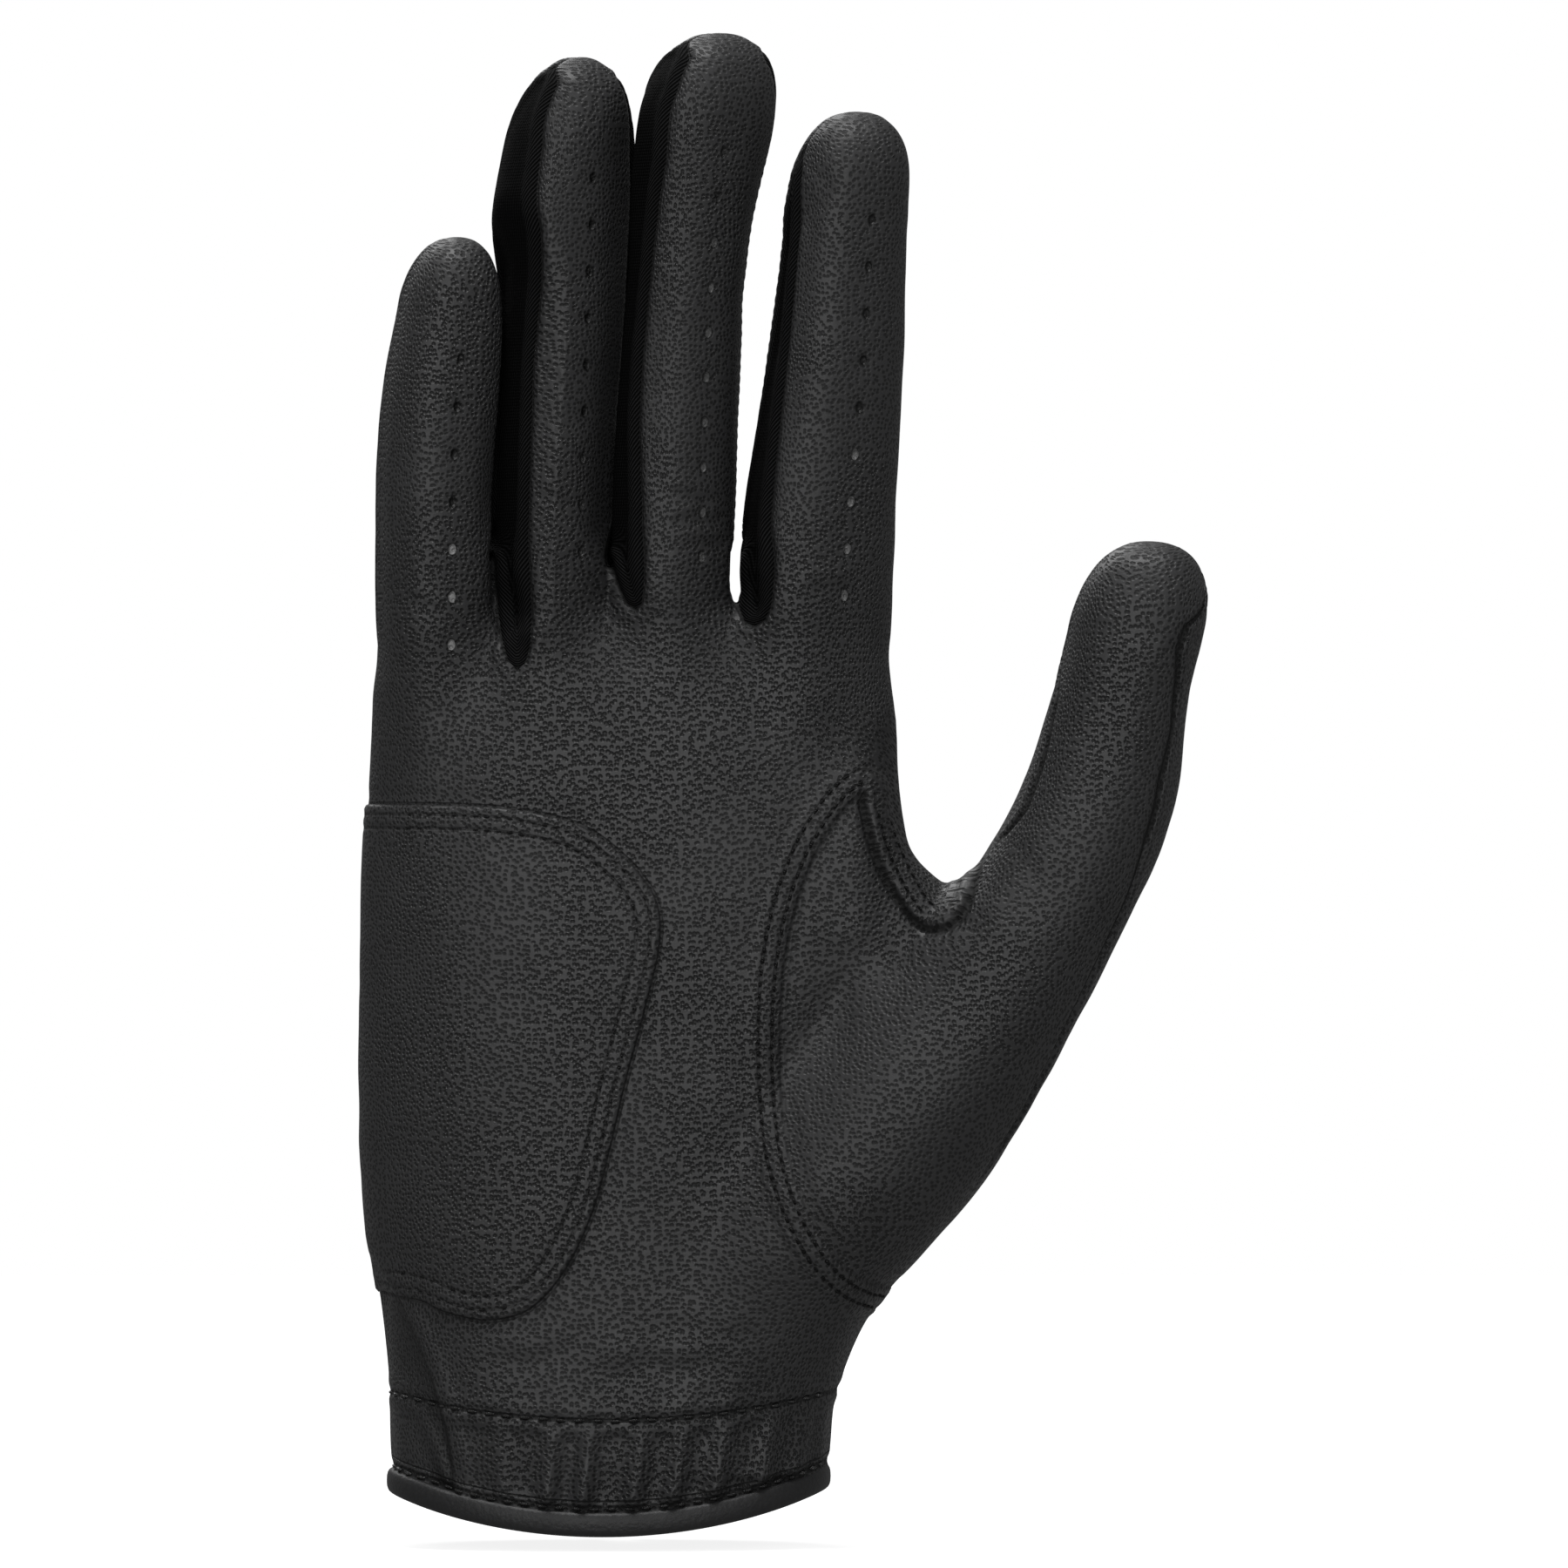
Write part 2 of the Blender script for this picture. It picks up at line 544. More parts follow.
def thumb_field(x, y, z):
    """Negative on the thumb's palm-side leather."""
    across, along, w, _ = local("thumb", x, y, z)
    side = smooth(across / w * 1.2 + 0.5)
    left = np.interp(z, [95, 104, 114, 121, 128], [3.5, 6.6, 5.4, 4.0, 0.5])
    right = np.interp(
        z, [60, 90, 100, 109, 116, 123, 128, 131.5, 134.5, 137.5, 140],
        [6.0, 6.6, 7.6, 7.5, 6.3, 6.6, 7.3, 6.8, 3.3, 1.2, 0.5],
    )
    return along + (left * (1 - side) + right * side) * smooth((TIP_Z["thumb"] - z) / 5.0)


# ---------------------------------------------------------------------------
# Folds, seams and soft relief, as a height along the skin's own direction
# ---------------------------------------------------------------------------
def lattice_noise(x, y, z, size, seed):
    """Soft random relief, about -1 to 1, with lumps about size across."""
    rng = np.random.default_rng(seed)
    grid = rng.uniform(-1, 1, (48, 48, 48))
    p = [np.asarray(v, float) / size + 100.0 for v in (x, y, z)]
    base = [np.floor(v).astype(int) for v in p]
    f = [smooth(v - b) for v, b in zip(p, base)]
    out = np.zeros(np.shape(p[0]))
    for i in (0, 1):
        for j in (0, 1):
            for k in (0, 1):
                weight = (f[0] if i else 1 - f[0]) * (f[1] if j else 1 - f[1]) * (f[2] if k else 1 - f[2])
                out += weight * grid[(base[0] + i) % 48, (base[1] + j) % 48, (base[2] + k) % 48]
    return out


def bump(d, width):
    return np.exp(-((d / width) ** 2))


# x at the hem, lean, height and width of each ridge of the gathered band
GATHERS = [
    (-22.5, -0.42, 0.55, 1.3), (-15.5, -0.05, 0.35, 1.8), (-9.4, 0.10, 0.8, 1.5),
    (-4.2, 0.12, 0.9, 1.4), (3.2, 0.15, 0.9, 1.5), (9.0, 0.17, 0.95, 1.4), (15.0, 0.18, 0.95, 1.5),
    (21.6, 0.2, 0.85, 1.4), (26.9, 0.16, 0.8, 1.3), (30.4, 0.1, 0.5, 1.1),
]
# x, height, half length, tilt in degrees, depth and width of soft creases in the palm-side leather
CREASES = [
    (13.0, 147.0, 5.0, 8, 0.22, 0.9), (12.0, 150.5, 4.0, -6, 0.18, 0.8),
    (14.0, 143.6, 4.0, 12, 0.16, 0.9), (-8.0, 150.0, 3.5, -8, 0.14, 0.9),
    (33.0, 137.0, 5.0, 14, 0.14, 1.1), (-27.0, 134.0, 4.0, -10, 0.12, 1.0),
    (56.0, 84.0, 7.0, -48, 0.22, 2.2), (62.0, 96.0, 5.0, -50, 0.18, 1.8),
    (30.6, 194.0, 7.0, 68, 0.4, 1.7), (-13.0, 22.0, 9.0, 10, 0.2, 1.8), (8.0, 21.0, 12.0, 3, 0.24, 2.0),
    (14.0, 26.0, 10.0, -4, 0.16, 2.0),
]


def relief(x, y, z):
    """How far the leather stands out from the plain form, in millimetres."""
    out = (
        0.22 * lattice_noise(x, y, z, 17.0, 3) + 0.10 * lattice_noise(x, y, z, 6.0, 4)
        + 0.035 * lattice_noise(x, y, z, 2.6, 5)
    )
    label, u, half = seam_fields(x, y, z)
    on_finger = smooth((z - 122.0) / 6.0) * (x < 50)
    strip = (np.abs(u) < half) & (half > NARROWEST)
    has_strip = smooth(half / 2.5)
    edge = np.minimum(np.abs(u - half), np.abs(u + half))
    pucker = 0.05 * np.cos(2 * np.pi * z / 1.7)
    knit = -0.42 * bump(edge, 0.55) + 0.28 * bump(edge - 1.25, 0.75) - 0.22 * smooth((edge - 1.8) / 1.6)
    knit = knit - 0.7 * smooth((edge - 0.2) / 1.4) * smooth((140 - z) / 6)
    rolled = -0.5 * bump(edge, 0.55) + (0.2 + pucker) * bump(edge - 1.2, 0.9)
    plain_seam = -0.35 * bump(u, 0.5) + 0.16 * bump(np.abs(u) - 1.0, 0.7)
    plain_seam = plain_seam * smooth((z - 126.0) / 8.0)
    out += (np.where(strip, knit, rolled) * has_strip + plain_seam * (1 - has_strip)) * on_finger
    front = smooth((3.0 - y) / 4.0)
    # thumb side seams
    thumb = np.abs(local("thumb", x, y, z)[0]) < 1.2 * np.interp(z, Z_TABLE, PROFILES["thumb"][1]) + 0.5
    thumb = thumb & (z > 40) & (x > 44)
    tf = thumb_field(x, y, z)
    rightmost = smooth((x - np.interp(z, Z_TABLE, PROFILES["thumb"][0])) / 3.0)
    seam_here = thumb * np.where(z > 100, 1.0, rightmost) * smooth((z - 44) / 14)
    out += (
        seam_here * (-0.5 * bump(tf + 0.15, 0.45) + 0.28 * bump(tf - 0.75, 0.65) + 0.12 * bump(tf + 1.3, 0.8))
    )
    # palm overlapping the thumb's root, and the rolled edge of the web
    close = (y < 6) & (x > 15) & (x < 62) & (z > 24) & (z < 118)
    xc, zc = x[close], z[close]
    palm_side, web_side = outline_distance(xc, zc, PALM_EDGE), outline_distance(xc, zc, WEB_EDGE)
    d = outline_distance(xc, zc, THUMB_LINE)
    by_web = smooth((web_side - palm_side + 0.8) / 1.6) * smooth((zc - 84) / 2) * smooth((55 - xc) / 1.5)
    rows = 0.0
    for at in (1.25, 3.3):
        rows = rows - (0.14 + 0.06 * np.cos(2 * np.pi * (xc + zc) / 2.3)) * bump(d - at, 0.45)
    step = np.where(d > 0, 0.34 * smooth(d / 1.0) * smooth((5.2 - d) / 1.4), -0.22 * bump(d + 0.9, 1.3))
    roll = np.where(d > 0, 0.75 * smooth(d / 0.7) * smooth((4.4 - d) / 1.8), -0.5 * bump(d + 0.35, 0.9))
    part = (step + rows) * (1 - by_web) + (roll + 0.6 * rows) * by_web
    over = np.where(xc > 34, smooth((0.0 - y[close]) / 2.5), front[close])
    out[close] += part * over * smooth((56.0 - xc) / 3.0)
    # the heel patch's two rows, and the palm drawn down around it
    close = (y < 8) & (x < 16) & (z > 22) & (z < 112)
    xc, zc = x[close], z[close]
    d = outline_distance(xc, zc, PATCH_LINE)
    rows = 0.0
    for at in (-1.5, -3.55):
        rows = rows - (0.15 + 0.05 * np.cos(2 * np.pi * (xc + zc) / 2.3)) * bump(d - at, 0.42)
    out[close] += (rows - 0.16 * bump(d - 0.9, 1.3) + 0.14 * smooth(-(d + 4.5) / 5)) * front[close]
    # gathered cuff band, the row that holds it, and the fold beside it
    s = hem_height(x, y, z)
    row = z - cuff_line(x)
    band = smooth((s - BINDING) / 2.0) * smooth(-(row + 0.6) / 2.2)
    ridges = np.zeros_like(out)
    for gx, lean, size, width in GATHERS:
        ridges += size * bump(x - gx - lean * z, width)
    palm_side = smooth((2.0 - y) / 5.0)
    back_side = 1 - palm_side
    gather = 2.1 * (ridges - 0.4) * palm_side + 0.35 * np.sin(x * 1.05) * back_side
    out += gather * band * (0.55 + 0.45 * smooth((9.0 - z) / 6.0))
    out += 0.22 * (ridges - 0.35) * smooth(row / 1.2) * smooth((9 - row) / 8.0) * palm_side
    out += (-0.22 * bump(row, 0.7) + 0.10 * bump(row - 1.4, 0.9) + 0.10 * bump(row + 1.4, 0.9)) * (z < 30)
    out += -0.35 * bump(s - BINDING - 0.4, 0.7)
    fold = x + 22.6 + 0.02 * z + 0.008 * z * z
    fade = smooth((46.0 - z) / 14.0) * palm_side
    out += (
        fade
        * (
            np.where(fold < 0, -1.0 * smooth(-fold / 1.2) * smooth((fold + 8.5) / 5.5), 0.0)
            + 0.35 * bump(fold - 1.2, 1.3)
        )
    )
    # soft creases
    for cx, cz, reach, tilt, depth, width in CREASES:
        c, t = math.cos(math.radians(tilt)), math.sin(math.radians(tilt))
        m = (np.abs(x - cx) < reach + 8) & (np.abs(z - cz) < reach + 8) & (y < 2)
        along = (x[m] - cx) * c + (z[m] - cz) * t
        off = -(x[m] - cx) * t + (z[m] - cz) * c + 0.4 * np.sin(along * 0.7)
        out[m] += (
            depth * (-bump(off, width) + 0.6 * bump(off - 1.9 * width, width))
            * smooth((reach - np.abs(along)) / (0.6 * reach))
        )
    # dimples round the holes
    for k, name in enumerate(FINGER_ORDER):
        low, pitch, count, shift = HOLES[name][:4]
        m = (label == k) & (z > low - 4) & (z < low + pitch * count) & (y < 0)
        a, along, _, _ = local(name, x[m], y[m], z[m])
        b = (z[m] - low) / pitch
        r2 = (a - shift) ** 2 + ((b - np.clip(np.round(b), 0, count - 1)) * pitch) ** 2
        out[m] += np.where(along < 0, -0.16 * np.exp(-r2 / 1.3), 0)
    return out


def skin_normal(p, e=0.3):
    g = gradient(skin_distance, p, e)
    return g / np.maximum(np.linalg.norm(g, axis=1), 1e-6)[:, None]


def displaced(p):
    n = skin_normal(p)
    return p + n * relief(*p.T)[:, None], n


# ---------------------------------------------------------------------------
# The skin, cut into its pieces
# ---------------------------------------------------------------------------
def make_skin(step, level=0.0, low=(-44, -26, -16), high=(96, 26, 226), rounds=3):
    p, quads = surface_nets(low, high, step, level)
    p = relax(p, quads, level, rounds)
    short = (
        np.linalg.norm(p[quads[:, 0]] - p[quads[:, 2]], axis=1)
        <= np.linalg.norm(p[quads[:, 1]] - p[quads[:, 3]], axis=1)
    )
    a, b = quads[short], quads[~short]
    return p, np.concatenate([a[:, [0, 1, 2]], a[:, [0, 2, 3]], b[:, [0, 1, 3]], b[:, [1, 2, 3]]])


verts, tris = make_skin(STEP)

THUMB_CUTS = (99.0, 115.0)
EDGE_CUT = BINDING * 0.6


def slit_field(x, y, z):
    return np.where(y > 4, slit_distance(x, z), FAR)


def apply_cuts(p, t):
    """Cuts the skin along every line where one piece ends and another begins."""

    def fingers(v):
        return (v[:, 2] > FINGER_FLOOR) & (v[:, 0] < FINGER_SIDE)

    def by_thumb(v):
        return (v[:, 0] > 44) & (v[:, 2] > 24)

    for sign in (1, -1):
        _, u, half = seam_fields(*p.T)
        s = np.where(fingers(p) & (half > NARROWEST), u + sign * half, u)
        s = np.where(by_thumb(p), FAR, s)
        p, t = cut(p, t, s)
    for level in range(3):
        label = finger_label(*p.T)
        s = p[:, 2] - np.array([PIECE_CUTS[n][level] for n in FINGER_ORDER])[label]
        p, t = cut(p, t, np.where(fingers(p), s, -FAR))
    s = np.where(by_thumb(p), thumb_field(*p.T), FAR)
    p, t = cut(p, t, s)
    for line in (THUMB_LINE, PATCH_LINE):
        s = np.full(len(p), FAR)
        m = p[:, 1] < 8
        s[m] = outline_distance(p[m, 0], p[m, 2], line)
        p, t = cut(p, t, s)
    for level in THUMB_CUTS:
        p, t = cut(p, t, np.where(p[:, 0] > 50, p[:, 2] - level, -FAR))
    p, t = cut(p, t, hem_height(*p.T) - EDGE_CUT)
    p, t = cut(p, t, p[:, 2] - cuff_line(p[:, 0]))
    p, t = cut(p, t, slit_field(*p.T))
    return p, t


verts, tris = apply_cuts(verts, tris)
centre = verts[tris].mean(1)
keep = (hem_height(*centre.T) > EDGE_CUT) & (slit_field(*centre.T) > 0)
tris = tris[keep]
centre = centre[keep]


def name_pieces(c):
    """The name of the piece that each triangle's centre lies on."""
    x, y, z = c.T
    label, u, half = seam_fields(x, y, z)
    names = np.full(len(c), "palm_leather", dtype=object)
    back = u > 0
    names[back] = "back_leather"
    names[(z < cuff_line(x)) & ~back] = "cuff_band_palm"
    names[(z < cuff_line(x)) & back] = "cuff_band_back"
    strip = (np.abs(u) < half) & (half > NARROWEST)
    for k, name in enumerate(FINGER_ORDER):
        mine = (label == k) & (x < FINGER_SIDE)
        levels = (*PIECE_CUTS[name], FAR)
        for part, low, high in zip(("base", "mid", "tip"), levels[:-1], levels[1:]):
            zone = mine & (z > low) & (z <= high)
            names[zone & ~strip & (u < 0)] = f"{name}_{part}_front"
            names[zone & ~strip & (u >= 0)] = f"{name}_{part}_back"
            names[zone & strip] = f"{name}_{part}_fourchette"
        names[mine & (z > FINGER_FLOOR) & (z <= levels[0]) & strip] = "crotch_knit"
    inside = outline_distance(x, z, THUMB_LINE) < 0
    tf = thumb_field(x, y, z)
    names[inside & (tf < 0) & (y < 6) & (z <= THUMB_CUTS[0])] = "thumb_root_leather"
    names[(x > 46) & (z > 24) & (tf >= 0) & (z <= THUMB_CUTS[0]) & inside] = "back_leather"
    names[(x > 36) & (z > 85) & (z < 118) & ~inside & (y < 3) & (x < 56)] = "palm_leather"
    for part, low, high in (("thumb_base", *THUMB_CUTS), ("thumb_tip", THUMB_CUTS[1], FAR)):
        zone = (x > 50) & (z > low) & (z <= high)
        names[zone & (tf < 0)] = f"{part}_front"
        names[zone & (tf >= 0)] = f"{part}_back"
    return names


piece_of = name_pieces(centre)
final, direction = displaced(verts)


def unit(v):
    """Each row as a direction of length 1."""
    return v / np.maximum(np.linalg.norm(v, axis=1), 1e-9)[:, None]


def point_normals(p, t):
    face = np.cross(p[t[:, 1]] - p[t[:, 0]], p[t[:, 2]] - p[t[:, 0]])
    n = np.stack([np.bincount(t.ravel(), np.repeat(face[:, k], 3), len(p)) for k in range(3)], 1)
    return unit(n)


vertex_n = point_normals(final, tris)
if (vertex_n * direction).sum() < 0:
    tris = tris[:, ::-1]
    vertex_n = -vertex_n


def new_object(name, points, faces):
    """A mesh object from points in millimetres and triangles or quads."""
    faces = np.asarray(faces)
    corners = faces.shape[1]
    mesh = bpy.data.meshes.new(name)
    mesh.vertices.add(len(points))
    mesh.vertices.foreach_set("co", (np.asarray(points) * MM).astype(np.float32).ravel())
    mesh.loops.add(faces.size)
    mesh.loops.foreach_set("vertex_index", faces.astype(np.int32).ravel())
    mesh.polygons.add(len(faces))
    mesh.polygons.foreach_set("loop_start", np.arange(0, faces.size, corners, dtype=np.int32))
    mesh.update(calc_edges=True)
    mesh.shade_smooth()
    obj = bpy.data.objects.new(name, mesh)
    bpy.context.scene.collection.objects.link(obj)
    return obj


def vector_attribute(obj, name, values):
    layer = obj.data.attributes.new(name, "FLOAT_VECTOR", "POINT")
    layer.data.foreach_set("vector", np.asarray(values).astype(np.float32).ravel())


def wrapped(tube, p, taper=True):
    """Coordinates on the leather as if laid flat: round the tube from its ridge, and along it."""
    x, y, z = p.T
    start, height = TUBES[tube][2:]
    across, along, w, d = local(tube, x, y, z)
    up = np.clip((z - start) / height, 0, 0.999) * taper
    slope = np.arcsin(up)
    cx, _, _, _, phi = (np.interp(z, Z_TABLE, column) for column in PROFILES[tube])
    round_ = (
        np.abs(across)
        + smooth((np.abs(across) / w - 0.45) / 0.5) * np.maximum(d * np.cos(slope) - np.abs(along), 0)
    )
    flat_z = np.where(up > 0, start + 0.85 * height * slope, z)
    return np.stack([cx + d * np.sin(phi) + np.sign(across) * round_ * np.cos(slope) ** 0.5, flat_z], 1)


def grain_coordinates(name, p):
    back = "back" in name
    x, y, z = p.T
    tube = name.split("_")[0]
    if name.startswith("thumb") and "root" not in name:
        flat = wrapped("thumb", p)
    else:
        flat = wrapped("palm", p, taper=False)
        if tube in FINGER_ORDER:
            share = smooth((PIECE_CUTS[tube][0] + 14.0 - z) / 14.0)[:, None]
            flat = flat * share + wrapped(tube, p) * (1 - share)
        else:
            share = smooth((x - 20.0) / 10.0) * smooth((z - 36.0) / 24.0) * smooth((120.0 - z) / 10.0)
            share = (share * (1 - smooth((x - 42.0) / 8.0) * smooth((88.0 - z) / 10.0)))[:, None]
            lean = 0.4 * (y + 9.0) * smooth((x - 38.0) / 8.0) * smooth((z - 84.0) / 8.0)
            flat = flat * (1 - share) + np.stack([x + 0.75 * lean, z + lean], 1) * share
            share = (smooth((x - 50.0) / 8.0) * smooth((z - 70.0) / 20.0))[:, None]
            flat = flat * (1 - share) + wrapped("thumb", p) * share
    return np.column_stack([flat + (0, 400.0 * back), np.zeros(len(p))])


def compact(t):
    """The points that some triangles use, and the triangles numbered by them."""
    used, ids = np.unique(t, return_inverse=True)
    return used, ids.reshape(-1, 3)


def skin_piece(name, chosen):
    """One piece of the skin as its own object, shaded as one with its neighbours."""
    used, faces = compact(chosen)
    obj = new_object("skin_" + name, final[used], faces)
    obj.data.normals_split_custom_set_from_vertices(vertex_n[used].astype(np.float32))
    rest = verts[used]
    vector_attribute(obj, "rest", rest)
    vector_attribute(obj, "grain", grain_coordinates(name, rest))
    label, u, half = seam_fields(*rest.T)
    x, y, z = rest.T
    if "fourchette" not in name and "knit" not in name:
        thumb_line = np.full(len(rest), CLEAR)
        web_side = np.full(len(rest), -3.0)
        patch_line = np.full(len(rest), CLEAR)
        front = (y < 8) & (z > 20) & (z < 122)
        thumb_line[front] = np.clip(outline_distance(x[front], z[front], THUMB_LINE), -CLEAR, CLEAR)
        nearer = (
            outline_distance(x[front], z[front], WEB_EDGE) - outline_distance(x[front], z[front], PALM_EDGE)
        )
        web_side[front] = np.where(x[front] > SEAM_END, 0.0, np.clip(nearer, -3, 3))
        thumb_line[x > SEAM_END] = -CLEAR
        thumb_line += CLEAR * smooth((y + 2.5) / 2.5) * (x > 34)
        patch_line[front] = np.clip(outline_distance(x[front], z[front], PATCH_LINE), -CLEAR, CLEAR)
        edge = np.minimum(np.abs(u - half), np.abs(u + half)) + CLEAR * smooth((126.0 - z) / 6.0)
        if name.startswith("thumb"):
            edge = np.abs(thumb_field(x, y, z)) + CLEAR * ((x < 62) & (z < THUMB_CUTS[0]))
        vector_attribute(obj, "lines", np.stack([thumb_line, patch_line, np.minimum(edge, CLEAR)], 1))
        hem, row = (np.clip(v, -CLEAR, 2 * CLEAR) for v in (hem_height(x, y, z), z - cuff_line(x)))
        vector_attribute(obj, "cuff", np.stack([hem, row, web_side], 1))
    if "fourchette" in name or "knit" in name:
        vector_attribute(obj, "weave", np.stack([u, rest[:, 2], np.maximum(half - np.abs(u), 0)], 1))
    holes = np.full((len(rest), 3), 50.0)
    for k, finger in enumerate(FINGER_ORDER):
        low, pitch, count, shift, switch, upper, lower = HOLES[finger]
        a, along, _, _ = local(finger, *rest.T)
        b = (rest[:, 2] - low) / pitch
        m = (label == k) & (along < 0) & (b > -0.6) & (b < count - 0.4) & (rest[:, 0] < 50)
        holes[m] = np.stack([a[m] - shift, b[m], np.where(rest[m, 2] > switch, upper, lower)], 1)
    if "front" in name or name == "palm_leather":
        vector_attribute(obj, "holes", holes)
    return obj


# ---------------------------------------------------------------------------
# Materials
# ---------------------------------------------------------------------------
class Graph:
    """A material's node tree, with short calls for the nodes it needs."""

    def __init__(self, name, rough=0.5, specular=0.5):
        self.material = bpy.data.materials.new(name)
        self.material.use_nodes = True
        self.tree = self.material.node_tree
        self.shader = self.tree.nodes["Principled BSDF"]
        self.shader.inputs["Roughness"].default_value = rough
        self.shader.inputs["Specular IOR Level"].default_value = specular

    def put(self, node, socket, value):
        target = node.inputs[socket]
        if isinstance(value, bpy.types.NodeSocket):
            self.tree.links.new(value, target)
        elif value is not None:
            target.default_value = value

    def node(self, kind, output=0, settings=None, **inputs):
        n = self.tree.nodes.new(kind)
        for key, value in (settings or {}).items():
            setattr(n, key, value)
        for key, value in inputs.items():
            self.put(n, key.replace("_", " "), value)
        return n.outputs[output]

    def math(self, op, a, b=None, clamp=False):
        n = self.tree.nodes.new("ShaderNodeMath")
        n.operation = op
        n.use_clamp = clamp
        self.put(n, 0, a)
        self.put(n, 1, b)
        return n.outputs[0]

    def plus(self, a, b, clamp=False):
        return self.math("ADD", a, b, clamp)

    def minus(self, a, b):
        return self.math("SUBTRACT", a, b)

    def times(self, a, b, clamp=False):
        return self.math("MULTIPLY", a, b, clamp)

    def vector(self, op, a, b):
        n = self.tree.nodes.new("ShaderNodeVectorMath")
        n.operation = op
        self.put(n, 0, a)
        self.put(n, 1, b)
        return n.outputs[0]

    def attribute(self, name):
        return self.node("ShaderNodeAttribute", 1, {"attribute_name": name})

    def parts(self, v):
        n = self.tree.nodes.new("ShaderNodeSeparateXYZ")
        self.put(n, 0, v)
        return n.outputs[0], n.outputs[1], n.outputs[2]

    def noise(self, at, scale, detail=2.0, output=0, rough=0.5):
        return self.node(
            "ShaderNodeTexNoise", output, None, Vector=at, Scale=scale, Detail=detail, Roughness=rough
        )

    def ramp(self, value, low, high):
        """0 below low, 1 above high, smooth between."""
        n = self.tree.nodes.new("ShaderNodeMapRange")
        n.interpolation_type = "SMOOTHSTEP"
        self.put(n, "Value", value)
        n.inputs["From Min"].default_value = low
        n.inputs["From Max"].default_value = high
        return n.outputs[0]

    def fade(self, value, low, high):
        """1 below low, 0 above high, smooth between."""
        return self.minus(1.0, self.ramp(value, low, high))

    def mix(self, share, a, b):
        n = self.tree.nodes.new("ShaderNodeMix")
        n.data_type = "RGBA"
        self.put(n, 0, share)
        self.put(n, 6, a if isinstance(a, bpy.types.NodeSocket) else (*a, 1))
        self.put(n, 7, b if isinstance(b, bpy.types.NodeSocket) else (*b, 1))
        return n.outputs[2]

    def finish(self, color=None, rough=None, height=None):
        """Joins the shader's inputs and returns the material. Height is in millimetres."""
        if color is not None:
            self.put(self.shader, "Base Color", color)
        if rough is not None:
            self.put(self.shader, "Roughness", rough)
        if height is not None:
            n = self.tree.nodes.new("ShaderNodeBump")
            n.inputs["Strength"].default_value = 1.0
            n.inputs["Distance"].default_value = MM
            self.put(n, "Height", height)
            self.put(self.shader, "Normal", n.outputs[0])
        return self.material


